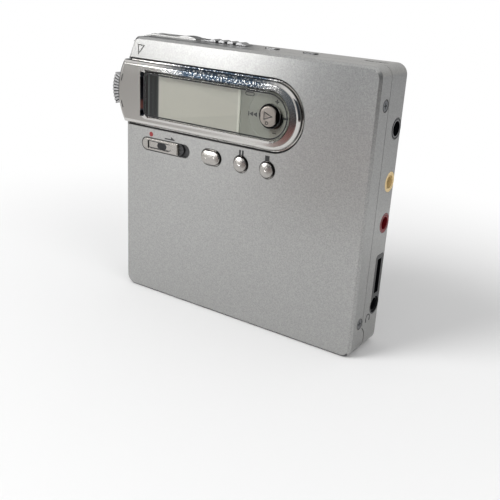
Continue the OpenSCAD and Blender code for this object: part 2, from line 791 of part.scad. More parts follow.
module lcd_backlight() color("#e8e8e4") difference() {
    slab(-32.6, 0, 1.6, board_d0, 54.6, 69.2);
    for (x = [-30:5:-5]) slab(x, x + 3.4, 2.4, board_d0 + 1, 56, 68);
}

module dial_plate() color("#9a9b90") difference() {
    union() {
        intersection() {
            plate(window_back_d, 1) window_outline(0.8);
            slab(key_plate_x, 30, -2, 6, 40, 80);
        }
        for (p = [[2.6, 57], [2.6, 66.8], [14.5, 57], [14.5, 66.8]])
            peg_y(p[0], p[1], 0.7, 0.9, board_d0);
    }
    peg_y(key_x, bezel_z, key_well_r, -2, 2);
    // Groove round the dial
    plate(0, window_back_d + 0.12) translate([dial_x, window_z]) difference() {
        circle(dial_r);
        circle(dial_r - 0.2);
    }
}

module lid_board() color(board_green) difference() {
    plate(board_d0, board_d1) difference() {
        rounded(-39.4, 20.5, 42.5, 70.2, 1);
        translate([13, 41]) square([10, 3.2]);
        translate([-24, 41]) square([12, 2.8]);
    }
    for (p = [[-30, 51.5], [16, 51]]) peg_y(p[0], p[1], 0.8, 2, 4);
}

// Dome switches, slider switch, jog switch and ribbon socket on the board
module switch_domes() color("#d8d2b8") {
    for (x = [group_x, pause_x, stop_x]) turned(x, button_z, board_d0) {
        cylinder(r = 1.7, h = 0.2);
        cylinder(r = 1.1, h = 0.38);
    }
    slab(-30, -22, 2.2, board_d0, 46.2, 48.8);
    slab(-7.5, 7.5, 2.3, board_d0, 43.3, 44.9);
}

// The lid's half of the ribbon ends in a roll round the hinge axis
module flex_ribbon() color("#b07a3a") {
    slab(-7.5, 0, hinge_d - 1.5, hinge_d - 1.3, hinge_z, 44.9);
    difference() {
        peg_x(hinge_d, hinge_z, 1.5, -7.5, 0);
        peg_x(hinge_d, hinge_z, 1.3, -8, 1);
    }
}

module lid_screws() color(steel) at_side_screws() difference() {
    union() {
        peg_x(side_screw_d, 0, side_head_r, half_w - 0.45, half_w - 0.05);
        peg_x(side_screw_d, 0, 0.6, 38, half_w - 0.3);
    }
    for (a = [0, 90]) translate([half_w, dy(side_screw_d), 0]) rotate([a, 0, 0])
        translate([-0.35, -0.8, -0.15]) cube([1, 1.6, 0.3]);
}

// Disc holder

module disc_holder() color("#c2c5c9") difference() {
    union() {
        // Front sheet
        plate(bay_front_d - 0.3, bay_front_d)
            translate([-bay_half_w - 0.55, bay_bottom_z - 0.2])
            square([2 * bay_half_w + 1.1, bay_top_z - bay_bottom_z]);
        both_sides() {
            slab(bay_half_w + 0.05, bay_half_w + 0.55, bay_front_d - 0.3, 10.35, 7.3, bay_top_z - 0.2);
            slab(33.5, bay_half_w + 0.1, 10.17, 10.35, 12, 70);
            peg_x(holder_pivot[0], holder_pivot[1], 0.5, bay_half_w + 0.3, bay_half_w + 1.6);
            // Feet that stop the cartridge
            slab(24, bay_half_w + 0.1, bay_front_d - 0.1, 9.4, bay_bottom_z - 0.2, bay_bottom_z + 0.05);
        }
    }
    // Head window, centre opening, finger notch at the mouth
    plate(4, 5) {
        rounded(-33, -10.8, 37, 45, 1);
        translate([8, disc_z]) circle(11);
        rounded(22, 31, 20, 60, 2);
        translate([0, bay_top_z + 5]) circle(14);
        for (x = [-26, 18]) rounded(x, x + 12, 10.5, 15.5, 1.5);
    }
}

// Opening slider and latch

// A cap with sloped ends and grip ribs, and the tongue that moves the latch
module open_slider() color("#a9abad") {
    z0 = body_h + 0.12;
    z1 = body_h + 0.45;
    plate(7.6, 11) polygon([[slider_x0, z0], [slider_x0, z0 + 0.1], [slider_x0 + 1.6, z1],
        [slider_x1 - 1.2, z1], [slider_x1, z0 + 0.1], [slider_x1, z0]]);
    for (i = [0:3]) grip_rib(slider_x0 + 4.3 + i * slider_rib_pitch);
    slab(-14.9, -9.1, 8.75, 9.85, bay_top_z + 1.1, body_h + 0.2);
}

module grip_rib(x) intersection() {
    peg_y(x, body_h - 1.1, 1.9, 7.6, 11);
    slab(x - 2, x + 2, 7, 12, body_h + 0.3, body_h + 2);
}

module latch_plate() color(steel) {
    slab(-26, 24, 7, 8.4, bay_top_z + 0.5, bay_top_z + 1.1);
    slab(-16, -8, 8.3, 9.9, bay_top_z + 0.5, bay_top_z + 1.1);
    // Hooks
    for (x = latch_hooks) {
        slab(x, x + 1.6, 4.7, 7.1, bay_top_z + 0.5, bay_top_z + 1.1);
        slab(x, x + 2.6, 4.7, 5.3, bay_top_z + 0.5, bay_top_z + 1.1);
    }
}

// Front controls

// The knob's outline: a round left end and a slightly curved right one
module knob_outline(i = 0) {
    end_r = 8;
    intersection() {
        stadium(rec_x0 + 0.12 + i, rec_knob_x1 + 2, button_z, rec_half_h - 0.12 - i);
        translate([rec_knob_x1 - end_r, button_z]) circle(end_r - i);
    }
}

module thumb_dimple(grow = 0) stadium(-28.5 - grow, -25 + grow, button_z, 0.9 + grow);

// The plate that carries the knob: it closes the slot at both ends, and its
// serrated tip and its dished middle show in front
module slide_plate() color(black) difference() {
    union() {
        plate(0.85, 1.25) stadium(rec_x0 - rec_travel, rec_x1 + 1.9, button_z, 2.6);
        plate(0.3, 0.9) difference() {
            stadium(rec_knob_x1 - 3, rec_tip_x, button_z, rec_half_h - 0.12);
            knob_outline(-0.04);
        }
        plate(0.05, 0.9) thumb_dimple();
        slab(-27, -25, 1.2, 2.1, button_z - 0.6, button_z + 0.6);
    }
    for (i = [-1:1]) slab(rec_knob_x1 - 1, rec_tip_x + 1, -1, 0.5, button_z + i - 0.15,
        button_z + i + 0.15);
    for (x = [-28:0.5:-25.5]) slab(x - 0.1, x + 0.1, -1, 0.2, button_z - 2, button_z + 2);
}

module rec_slider() color("#c6c6c6") difference() {
    union() {
        plate(0, 0.84) knob_outline();
        plate(-0.35, 0.1) knob_outline(0.25);
    }
    // Sunk panel with the opening for the dimple
    plate(-1, 0) intersection() {
        stadium(-33.4, -23, button_z, 1.15);
        translate([-32, 40]) square([12, 20]);
    }
    plate(-1, 1) thumb_dimple(0.04);
}

// A front button: crowned cap, flange under the lid, stem. The children say
// how far the cap's section is carried along x.
module button_cap(half = button_r) cap_section(half, 1, 0.95, 0.55, 9);

module button_flange(half = button_r) translate([0, -1.25]) square([half + 0.6, 0.3]);

module round_button(x) color(satin) turned(x, button_z, 0) rotate_extrude() {
    button_cap();
    button_flange();
    translate([0, -2.15]) square([0.8, 1.2]);
}

module pause_button() round_button(pause_x);

module stop_button() round_button(stop_x);

module group_button() color(satin) {
    side = group_len / 2 - group_half;
    for (s = [-1, 1]) turned(group_x + s * side, button_z, 0) rotate_extrude() {
        button_cap(group_half);
        button_flange(group_half);
    }
    cap_bar(group_x - side, group_x + side, button_z) {
        button_cap(group_half);
        button_flange(group_half);
    }
    peg_y(group_x, button_z, 0.8, 1.2, 2.15);
}

module key_base() color(black) difference() {
    peg_y(key_x, bezel_z, 3.7, 2.2, 2.45);
    peg_y(key_x, bezel_z, 1.2, 2, 3);
    for (a = [0:90:270]) peg_y(key_x + 2.9 * cos(a), bezel_z + 2.9 * sin(a), 0.4, 2, 3);
}

module key_gimbal() color(steel) difference() {
    peg_y(key_x, bezel_z, 2.9, 1.76, 1.94);
    peg_y(key_x, bezel_z, 1.9, 1, 3);
}

// The stem that the ring carries, with a flange that closes the well
module key_stem() color(black) turned(key_x, bezel_z, 0) rotate_extrude() polygon([
    [0, -1.7], [1.2, -1.7], [1.2, -1.55], [3.8, -1.55], [3.8, -1.35], [2, -1.2], [1.4, -0.9],
    [1.4, -0.2], [0, -0.2]]);

// The control key's cap: waisted, slightly dished, with a flat on each side
module control_key() color(satin) difference() {
    intersection() {
        turned(key_x, bezel_z, 0) rotate_extrude() polygon(concat(
            [[0, -0.2], [1.43, -0.2], [1.43, -0.55], [key_r - 0.3, -0.6], [key_r, 0.2], [key_r, 1]],
            [for (a = [15:15:90]) [key_r - 0.4 + 0.4 * cos(a), 1 + 0.4 * sin(a)]],
            [[1.2, 1.4], [0, 1.36]]));
        slab(key_x - key_flat, key_x + key_flat, -2, 1, bezel_z - 4, bezel_z + 4);
    }
    // Play mark and locating ring pressed into the cap
    plate(-2, -1.25) translate([key_x, bezel_z]) {
        triangle_line([[-1.3, -1], [-1.3, 1.25], [1.55, 0.1]], 0.25);
        translate([-0.3, -1.75]) difference() {
            circle(0.5);
            circle(0.25);
        }
    }
}

module jog_carrier() color(black) {
    slab(-39.6, -35.2, 2.72, 2.9, jog_z - 2.4, jog_z + 2.4);
    peg_y(jog_x, jog_z, 0.36, 0.9, 2.8);
}

// A ribbed thumb lever that rocks about its pin
module jog_lever() color("#bdbdbd") difference() {
    union() {
        intersection() {
            difference() {
                peg_y(jog_x, jog_z, jog_r, 0.9, 2.62);
                peg_y(jog_x, jog_z, jog_r - 4.6, 0, 3);
            }
            plate(0, 3) polygon([[jog_x, jog_z], [jog_x - 11, jog_z - 11 * tan(30)],
                [jog_x - 11, jog_z + 11 * tan(30)]]);
        }
        slab(jog_x - 5.2, jog_x - 0.3, 1.2, 2.62, jog_z - 0.9, jog_z + 0.9);
        peg_y(jog_x, jog_z, 1.1, 0.9, 2.62);
    }
    peg_y(jog_x, jog_z, 0.42, 0, 3);
    for (i = [0:jog_ribs - 1]) {
        a = 180 + (i - (jog_ribs - 1) / 2) * jog_rib_step;
        peg_y(jog_x + jog_r * cos(a), jog_z + jog_r * sin(a), 0.26, 0, 3);
    }
}

// Top edge controls

module hold_switch() color("#a9abad") difference() {
    union() {
        slab(hold_x - 1.9, hold_x + 1.9, 9.3, 10.5, body_h - wall - 0.1, body_h - 0.05);
        slab(hold_x - 2.6, hold_x + 2.6, 8.6, 11.2, body_h - wall - 0.5, body_h - wall - 0.1);
    }
    for (i = [-1:1]) slab(hold_x + i * 1.1 - 0.25, hold_x + i * 1.1 + 0.25, 9, 11,
        body_h - 0.3, body_h + 1);
}

module top_key(x) color(silver) {
    top_key_slot(x, 2.2, 0.9, body_h - wall - 0.2, body_h + 0.28);
    slab(x - 2.7, x + 2.7, top_key_d - 1.3, top_key_d + 1.3, body_h - wall - 0.45, body_h - wall - 0.15);
}

module search_button() top_key(search_x);

module mark_button() top_key(mark_x);

// Disc drive

module turntable() color("#c8cacc") turned(0, disc_z, 0) rotate_extrude() polygon([
    [0, -14.1], [0.75, -14.1], [0.75, -10.8], [3, -10.8], [3, -10.78], [7.4, -10.78],
    [7.4, -10.4], [5, -10.3], [4.8, -9.6], [4.2, -9.45], [1.6, -9.45], [1.2, -9.7], [0, -9.7]]);

module pickup_sled() color("#6f7276") difference() {
    union() {
        slab(sled_x - 4.1, sled_x + 4, 11.65, 14.4, 35.5, 48.5);
        for (z = [lower_shaft_z, upper_shaft_z]) {
            peg_x(shaft_d, z, 1.4, sled_x - 4.1, sled_x + 4);
            slab(sled_x - 4.1, sled_x + 4, 12.2, 14.2, min(z, 42), max(z, 42));
        }
        // Follower that rides in the lead screw's thread
        slab(sled_x - 1, sled_x + 1, 12.4, 14, screw_z + 0.96, lower_shaft_z);
    }
    for (z = [lower_shaft_z, upper_shaft_z]) peg_x(shaft_d, z, shaft_r + 0.05, -60, 60);
    peg_y(sled_x, disc_z, 2.6, 13.4, 15);
}

module objective_lens() union() {
    color(black) difference() {
        peg_y(sled_x, disc_z, 2.2, 11, 11.65);
        peg_y(sled_x, disc_z, 1.6, 10, 11.3);
    }
    color([0.5, 0.6, 0.8]) turned(sled_x, disc_z, 11.64) intersection() {
        translate([0, 0, -0.25]) sphere(1.2);
        cylinder(r = 1.5, h = 1.5);
    }
}

// The bracket goes round the disc from behind it to in front of it
module head_bracket() color("#c2c5c9") difference() {
    union() {
        slab(sled_x - 1.9, sled_x + 1.9, 11.35, 11.65, arm_pivot[1] - 0.15, 38.6);
        slab(sled_x - 1.9, sled_x + 1.9, arm_pivot[0], 11.65, arm_pivot[1] - 0.15, arm_pivot[1] + 0.15);
        peg_x(arm_pivot[0], arm_pivot[1], 0.4, sled_x - 2.3, sled_x + 2.3);
    }
    plate(11, 12) for (z = [8, 16, 24]) translate([sled_x - 0.8, z]) square([1.6, 6]);
}

module head_arm() color("#d2d4d6") difference() {
    union() {
        plate(4.05, 4.27) difference() {
            union() {
                translate([sled_x - 2.4, arm_pivot[1]]) square([4.8, 6.4]);
                translate([sled_x - 1.6, 9]) square([3.2, 34]);
            }
            translate([sled_x - 0.6, 14]) square([1.2, 22]);
        }
        for (x = [sled_x - 2.4, sled_x + 2]) {
            peg_x(arm_pivot[0], arm_pivot[1], 0.8, x, x + 0.4);
            slab(x, x + 0.4, 4.05, arm_pivot[0], arm_pivot[1], arm_pivot[1] + 0.8);
        }
    }
    peg_x(arm_pivot[0], arm_pivot[1], 0.45, -60, 60);
}

module magnetic_head() color("#3a3b3d") {
    slab(sled_x - 1.5, sled_x + 1.5, 4.27, 4.6, disc_z - 1.8, disc_z + 1.8);
    slab(sled_x - 0.9, sled_x + 0.9, 4.55, 4.88, disc_z - 1.3, disc_z + 1.3);
}

module lead_screw() color("#d0b070") {
    peg_x(shaft_d, screw_z, 0.9, -35.3, -7.6);
    peg_x(shaft_d, screw_z, 0.4, -36.1, -35.2);
    peg_x(shaft_d, screw_z, 0.4, -7.7, -5);
}

rear_case();
side_rails();
cross_bars();
hinge_brackets();
hinge_pins();
chassis_plate();
rubber_dampers();
spindle_motor();
sled_motor();
guide_shafts();
shaft_holders();
main_board();
board_chips();
board_shield();
battery_cell();
line_in_jack();
mic_jack();
power_jack();
phones_jack();
contact_block();
charge_contacts();
case_screws();
ribbon_tail();
top_rail();
top_switches();
lid_panel();
lid_frame();
display_bezel();
display_window();
lcd_panel();
lcd_backlight();
dial_plate();
lid_board();
switch_domes();
flex_ribbon();
lid_screws();
disc_holder();
open_slider();
latch_plate();
slide_plate();
rec_slider();
group_button();
pause_button();
stop_button();
key_base();
key_gimbal();
key_stem();
control_key();
jog_carrier();
jog_lever();
hold_switch();
search_button();
mark_button();
turntable();
pickup_sled();
objective_lens();
head_bracket();
head_arm();
magnetic_head();
lead_screw();
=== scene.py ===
# %% [markdown]
# # A pocket disc recorder, finished as a product photograph
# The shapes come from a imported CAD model: every case half, key and gear is
# already a solid, standing where it belongs. This lesson gives each of them
# the finish that it has on the real object, adds what a CAD model leaves out,
# such as printed marks, and lights it softly on white.
#
# It stays fixed, and whatever is added here rides on one of its moving
# bodies, so the lid still opens.

# %% Load the CAD model
import math

import bmesh
import bpy
from mathutils import Matrix, Vector


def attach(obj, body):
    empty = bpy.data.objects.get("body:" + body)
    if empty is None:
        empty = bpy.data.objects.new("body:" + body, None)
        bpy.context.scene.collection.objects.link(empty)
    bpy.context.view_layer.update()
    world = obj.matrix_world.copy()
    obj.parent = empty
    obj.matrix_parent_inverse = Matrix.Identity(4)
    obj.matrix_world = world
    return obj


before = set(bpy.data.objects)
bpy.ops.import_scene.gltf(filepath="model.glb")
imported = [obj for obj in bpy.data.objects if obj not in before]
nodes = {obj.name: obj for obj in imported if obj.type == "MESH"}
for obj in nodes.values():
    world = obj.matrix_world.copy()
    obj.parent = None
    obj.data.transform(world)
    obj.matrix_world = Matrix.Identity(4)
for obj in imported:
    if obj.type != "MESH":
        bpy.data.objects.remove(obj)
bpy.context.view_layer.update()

# %% [markdown]
# ## Millimetres and depths
# Blender works in metres here, while pocket electronics is drawn in
# millimetres. The front face is the plane that everything is measured from,
# so a point is given as x, depth behind the front face, and height. The places
# that several cells need are named here once.

# %% Millimetres and depths
MM = 0.001
FRONT_Y = -7.75  # the front face, in the CAD model's Y
RIGHT_X = 41.0  # the right side
BLOCK_Z = 61.9  # height of the display block's middle
BUTTON_Z = 47.4  # height of the buttons and the record slider
KEY_AT = (10.6, 62.0)  # x and height of the control key


def place(x, depth, z):
    """A point given in millimetres, with its depth behind the front face."""
    return Vector((x, FRONT_Y + depth, z)) * MM


print("front face at y =", place(0, 0, 0).y, "m")

# %% [markdown]
# ## Building materials from nodes
# A material is a small graph. One function adds a node, sets its values and
# makes its links, and another starts a material with the shader that nearly
# every surface needs. Colours are written as the sRGB hex values that a
# colour picker shows, and are turned to linear light here.

# %% Functions for materials
# A Mix node has sockets of the same name for each kind of data. These are the colours'.
MIX_A, MIX_B, MIX_RESULT = 6, 7, 2


def linear(hex_colour):
    """An sRGB hex colour as linear RGBA."""
    parts = [int(hex_colour[i:i + 2], 16) / 255 for i in (1, 3, 5)]
    return [c / 12.92 if c <= 0.04045 else ((c + 0.055) / 1.055) ** 2.4 for c in parts] + [1.0]


def add(material, kind, inputs=None, **settings):
    """Adds a node. An input takes a number, a colour or another node's output."""
    node = material.node_tree.nodes.new(kind)
    for name, value in settings.items():
        setattr(node, name, value)
    for name, value in (inputs or {}).items():
        if isinstance(value, bpy.types.NodeSocket):
            material.node_tree.links.new(value, node.inputs[name])
        else:
            node.inputs[name].default_value = value
    return node


def start(name, colour, roughness, metallic=0.0, ior=None):
    """A material with one Principled shader, and that shader."""
    material = bpy.data.materials.new(name)
    material.use_nodes = True
    shader = material.node_tree.nodes["Principled BSDF"]
    shader.inputs["Base Color"].default_value = linear(colour)
    shader.inputs["Roughness"].default_value = roughness
    shader.inputs["Metallic"].default_value = metallic
    if ior:
        shader.inputs["IOR"].default_value = ior
    return material, shader


def set_stops(ramp, stops):
    """Puts a colour ramp's stops at [(position, hex colour), ...]."""
    elements = ramp.color_ramp.elements
    while len(elements) < len(stops):
        elements.new(0.5)
    for element, (position, colour) in zip(elements, stops):
        element.position = position
        element.color = linear(colour)


def link(material, output, socket):
    """Joins an output to a node's socket."""
    material.node_tree.links.new(output, socket)


def show(material, shader_output):
    """Makes that shader the material's surface."""
    link(material, shader_output, material.node_tree.nodes["Material Output"].inputs["Surface"])


print("material functions ready")

# %% [markdown]
# ## Silver lacquer
# The case halves are sheet metal sprayed with silver lacquer: clear varnish
# full of aluminium flakes a few hundredths of a millimetre across. It looks
# like soft metal with a fine glitter, and the flakes tilt the light a little
# each way. Cells of noise that small would vanish in the picture, so they are
# drawn at about a quarter of a millimetre. A slow noise, a few centimetres
# wide, stands for the uneven thickness of the spray.
#
# Behind the front face, the walls of the openings and the back of the sheet are painted near black
# and not metal: painted shade for the dark gaps round what sits in the openings.

# %% Silver lacquer
FLAKE = 0.26 * MM
SPRAY = 25 * MM
SHADE_DEPTH = 0.12  # mm behind the front face, where the painted shade begins
SHADE_HALF = 40.0  # mm to either side of the middle
SHADE_TOP = 71.9  # mm, the height below which the painted shade stays
LACQUER_METAL = 0.8


def silver_lacquer(name, shade_inside=False):
    """Flakes of three greys under varnish, and painted shade inside if asked for."""
    material, shader = start(name, "#A0A09F", 0.34, LACQUER_METAL)
    place_on = add(material, "ShaderNodeTexCoord").outputs["Object"]
    flakes = add(material, "ShaderNodeTexVoronoi", {"Vector": place_on, "Scale": 1 / FLAKE})
    tint = add(material, "ShaderNodeValToRGB", {"Fac": flakes.outputs["Color"]})
    set_stops(tint, [(0.0, "#919190"), (0.5, "#9C9C9B"), (1.0, "#A8A8A6")])
    link(material, tint.outputs["Color"], shader.inputs["Base Color"])
    spray = add(material, "ShaderNodeTexNoise", {"Vector": place_on, "Scale": 1 / SPRAY})
    rough = add(material, "ShaderNodeMapRange", {"Value": spray.outputs["Fac"], "To Min": 0.29,
                                                 "To Max": 0.35})
    link(material, rough.outputs["Result"], shader.inputs["Roughness"])
    bump = add(material, "ShaderNodeBump", {"Height": flakes.outputs["Distance"],
                                            "Strength": 0.05, "Distance": 0.02 * MM})
    link(material, bump.outputs["Normal"], shader.inputs["Normal"])
    if shade_inside:
        paint_inner_shade(material, shader, place_on, tint.outputs["Color"])
    return material


def paint_inner_shade(material, shader, place_on, sprayed):
    """Paints shade near black behind the front face, between the sheet's outer edges."""
    apart = add(material, "ShaderNodeSeparateXYZ", {"Vector": place_on})
    behind = add(material, "ShaderNodeMath", {0: apart.outputs["Y"],
                                              1: (FRONT_Y + SHADE_DEPTH) * MM},
                 operation="GREATER_THAN")
    from_middle = add(material, "ShaderNodeMath", {0: apart.outputs["X"]}, operation="ABSOLUTE")
    between = add(material, "ShaderNodeMath", {0: from_middle.outputs[0], 1: SHADE_HALF * MM},
                  operation="LESS_THAN")
    below = add(material, "ShaderNodeMath", {0: apart.outputs["Z"], 1: SHADE_TOP * MM},
                operation="LESS_THAN")
    both = add(material, "ShaderNodeMath", {0: behind.outputs[0], 1: between.outputs[0]},
               operation="MULTIPLY")
    inside = add(material, "ShaderNodeMath", {0: both.outputs[0], 1: below.outputs[0]},
                 operation="MULTIPLY")
    # Painted shade: inside the sheet the colour turns near black and is no longer metal.
    colour = add(material, "ShaderNodeMix", {"Factor": inside.outputs[0], MIX_A: sprayed,
                                             MIX_B: linear("#19191B")}, data_type="RGBA")
    link(material, colour.outputs[MIX_RESULT], shader.inputs["Base Color"])
    metal = add(material, "ShaderNodeMapRange", {"Value": inside.outputs[0],
                                                 "To Min": LACQUER_METAL, "To Max": 0.0})
    link(material, metal.outputs["Result"], shader.inputs["Metallic"])


lacquer = silver_lacquer("Silver lacquer with aluminium flake")
lid_lacquer = silver_lacquer("Silver lacquer, painted shade inside", shade_inside=True)
print("silver lacquer, flakes", round(FLAKE / MM, 2), "mm")

# %% [markdown]
# ## Worn chrome, with painted reflections
# The display block is moulded plastic with a skin of chrome. Chrome has little colour of its own:
# what gives it its look is what it mirrors. The block's upper band has rubbed against pockets for
# years, so its plating is pitted there. The pits are dark blue-grey, partly from that wear and
# partly as a painted reflection of a dark room above. They fade out at the right-hand arc. The
# sloped lip at the window's left end faces the window's black border, and a painted reflection of
# it, as dark as it looks there, is laid into its colour.

# %% Where the chrome is worn, with its painted reflection
WORN_FROM = 67.9  # mm, height at which the worn band starts
WORN_BLEND = 0.5
WORN_X = (-30.0, -18.0, 7.0, 15.0)  # mm, where it fades in and out along x
PIT = 0.55 * MM  # wider than real pits, so that they show


def worn_share(material, apart):
    """How worn the plating is at a point, 0 to 1."""
    high = add(material, "ShaderNodeMapRange", {"Value": apart.outputs["Z"],
                                                "From Min": WORN_FROM * MM,
                                                "From Max": (WORN_FROM + WORN_BLEND) * MM})
    fade_in = add(material, "ShaderNodeMapRange", {"Value": apart.outputs["X"],
                                                   "From Min": WORN_X[0] * MM,
                                                   "From Max": WORN_X[1] * MM})
    fade_out = add(material, "ShaderNodeMapRange", {"Value": apart.outputs["X"],
                                                    "From Min": WORN_X[3] * MM,
                                                    "From Max": WORN_X[2] * MM})
    along = add(material, "ShaderNodeMath", {0: fade_in.outputs["Result"],
                                             1: fade_out.outputs["Result"]},
                operation="MULTIPLY")
    return add(material, "ShaderNodeMath", {0: high.outputs["Result"], 1: along.outputs[0]},
               operation="MULTIPLY").outputs[0]


print("worn above", WORN_FROM, "mm")

# %% The dark lip, a painted reflection
LIP_X = -34.5  # mm, where the lip starts
LIP_BLEND = 0.1
LIP_WIDTH = 1.1
LIP_HALF = 6.4  # mm up and down from the block's middle
# Painted reflection: the window's black border and a reddish band, as the lip mirrors them.
LIP_REFLECTION_TONES = [(0.0, "#22262B"), (0.12, "#22262B"), (0.17, "#5C3B36"), (0.33, "#533531"),
             (0.38, "#1A1C20"), (1.0, "#15171A")]  # over 6 mm down to 6 mm up


def paint_lip_reflection(material, apart, plating):
    """The plating's colour, with the painted reflection on the lip laid over it."""
    lip = add(material, "ShaderNodeMapRange", {"Value": apart.outputs["X"],
                                               "From Min": LIP_X * MM,
                                               "From Max": (LIP_X + LIP_BLEND) * MM})
    window_side = add(material, "ShaderNodeMath", {0: apart.outputs["X"],
                                                   1: (LIP_X + LIP_WIDTH) * MM},
                      operation="LESS_THAN")
    on_lip = add(material, "ShaderNodeMath", {0: lip.outputs["Result"], 1: window_side.outputs[0]},
                 operation="MULTIPLY")
    beside = add(material, "ShaderNodeMath", {0: apart.outputs["Z"], 1: BLOCK_Z * MM},
                 operation="SUBTRACT")
    level = add(material, "ShaderNodeMath", {0: beside.outputs[0]}, operation="ABSOLUTE")
    near = add(material, "ShaderNodeMath", {0: level.outputs[0], 1: LIP_HALF * MM},
               operation="LESS_THAN")
    share = add(material, "ShaderNodeMath", {0: on_lip.outputs[0], 1: near.outputs[0]},
                operation="MULTIPLY")
    rise = add(material, "ShaderNodeMapRange", {"Value": beside.outputs[0],
                                                "From Min": -6 * MM, "From Max": 6 * MM})
    tone = add(material, "ShaderNodeValToRGB", {"Fac": rise.outputs["Result"]})
    set_stops(tone, LIP_REFLECTION_TONES)
    return add(material, "ShaderNodeMix", {"Factor": share.outputs[0], MIX_A: plating,
                                           MIX_B: tone.outputs["Color"]},
               data_type="RGBA").outputs[MIX_RESULT]


print("lip from", LIP_X, "to", LIP_X + LIP_WIDTH, "mm")

# %% Worn chrome, with painted reflections


def worn_chrome_and_reflection():
    """Clean plating with dark pits in its worn band, partly a painted reflection, and the lip's
    painted reflection.
    """
    material, shader = start("Worn chrome plating on moulded ABS, with painted reflection", "#C6C4C1", 0.12, 1.0)
    place_on = add(material, "ShaderNodeTexCoord").outputs["Object"]
    apart = add(material, "ShaderNodeSeparateXYZ", {"Vector": place_on})
    worn = worn_share(material, apart)
    pits = add(material, "ShaderNodeTexNoise", {"Vector": place_on, "Scale": 1 / PIT,
                                                "Detail": 3.0, "Roughness": 0.6})
    dark = add(material, "ShaderNodeMapRange", {"Value": pits.outputs["Fac"],
                                                "From Min": 0.34, "From Max": 0.49})
    # Painted reflection: the dark blue-grey pits stand partly for wear and partly for a dark room
    # mirrored above.
    pits_and_reflection = add(material, "ShaderNodeMath", {0: dark.outputs["Result"], 1: worn},
                 operation="MULTIPLY")
    plating = add(material, "ShaderNodeMix", {"Factor": pits_and_reflection.outputs[0],
                                              MIX_A: linear("#C6C4C1"),
                                              MIX_B: linear("#2C3A48")}, data_type="RGBA")
    colour = paint_lip_reflection(material, apart, plating.outputs[MIX_RESULT])
    link(material, colour, shader.inputs["Base Color"])
    rough = add(material, "ShaderNodeMapRange", {"Value": worn, "To Min": 0.12, "To Max": 0.24})
    link(material, rough.outputs["Result"], shader.inputs["Roughness"])
    bump = add(material, "ShaderNodeBump", {"Height": pits.outputs["Fac"], "Strength": worn,
                                            "Distance": 0.11 * MM})
    link(material, bump.outputs["Normal"], shader.inputs["Normal"])
    return material


chrome = worn_chrome_and_reflection()
print("chrome pitted every", round(PIT / MM, 2), "mm")

# %% [markdown]
# ## Plated and lacquered keys
# The keys are moulded in ABS too. The ones under the display are plated bright,
# the sliders and the keys on the top edge satin, and the control key is
# sprayed. Years of fingers polish such a skin unevenly, so its roughness
# varies a little, from one half millimetre to the next.

# %% Plated and lacquered keys
TOUCH = 0.5 * MM


def plated(name, colour, roughness, spread):
    """A metal skin on plastic, with a roughness that varies by spread."""
    material, shader = start(name, colour, roughness, 1.0)
    place_on = add(material, "ShaderNodeTexCoord").outputs["Object"]
    grain = add(material, "ShaderNodeTexNoise", {"Vector": place_on, "Scale": 1 / TOUCH})
    rough = add(material, "ShaderNodeMapRange", {"Value": grain.outputs["Fac"],
                                                 "To Min": roughness - spread,
                                                 "To Max": roughness + spread})
    link(material, rough.outputs["Result"], shader.inputs["Roughness"])
    return material


bright_plating = plated("Bright nickel plating on moulded ABS", "#A8A5A1", 0.26, 0.03)
satin = plated("Satin nickel plating on moulded ABS", "#7C7C7D", 0.3, 0.06)
cap_grey = plated("Warm grey metallic lacquer on ABS", "#8E8882", 0.3, 0.03)
print("three skins for keys")

# %% [markdown]
# ## Ribs with painted shade between them
# Shade between the ribs of the thumb lever and of the open slider is painted in as dark bands. On
# the lever the ribs are counted by the angle round its pin, and on the slider by the distance
# along x.

# %% Ribs with painted shade between them
LEVER_AT = (-38.0, 62.0)  # x and height of its pin, mm
RIB_TURN = 6.5  # degrees from rib to rib on the lever
SLIDER_RIB_X = -15.1  # the first rib's middle, mm
SLIDER_RIB_STEP = 3.0
SLIDER_RIBS = 4


def ribbed_plating_with_shade(name, count_ribs, stops):
    """Satin plating with painted shade, whose tone goes by how far a point is from a rib, 0 to
    0.5.
    """
    material, shader = start(name, "#8B8B8C", 0.3, 1.0)
    place_on = add(material, "ShaderNodeTexCoord").outputs["Object"]
    apart = add(material, "ShaderNodeSeparateXYZ", {"Vector": place_on})
    between = add(material, "ShaderNodeMath", {0: count_ribs(material, apart), 1: 0.5},
                  operation="PINGPONG")
    # Painted shade: the ramp's dark stops are the shade between the ribs.
    tone = add(material, "ShaderNodeValToRGB", {"Fac": between.outputs[0]})
    set_stops(tone, stops)
    link(material, tone.outputs["Color"], shader.inputs["Base Color"])
    return material


def ribs_by_angle(material, apart):
    """Counts round the lever's pin, from the rib that points to the left."""
    back = add(material, "ShaderNodeMath", {0: LEVER_AT[0] * MM, 1: apart.outputs["X"]},
               operation="SUBTRACT")
    rise = add(material, "ShaderNodeMath", {0: apart.outputs["Z"], 1: LEVER_AT[1] * MM},
               operation="SUBTRACT")
    turn = add(material, "ShaderNodeMath", {0: rise.outputs[0], 1: back.outputs[0]},
               operation="ARCTAN2")
    return add(material, "ShaderNodeMath", {0: turn.outputs[0], 1: math.radians(RIB_TURN)},
               operation="DIVIDE").outputs[0]


def ribs_along_x(material, apart):
    """Counts from the first rib, and stays on the end ribs beyond them."""
    first = SLIDER_RIB_X * MM
    last = (SLIDER_RIB_X + SLIDER_RIB_STEP * (SLIDER_RIBS - 1)) * MM
    return add(material, "ShaderNodeMapRange", {"Value": apart.outputs["X"], "From Min": first,
                                                "From Max": last,
                                                "To Max": SLIDER_RIBS - 1}).outputs["Result"]


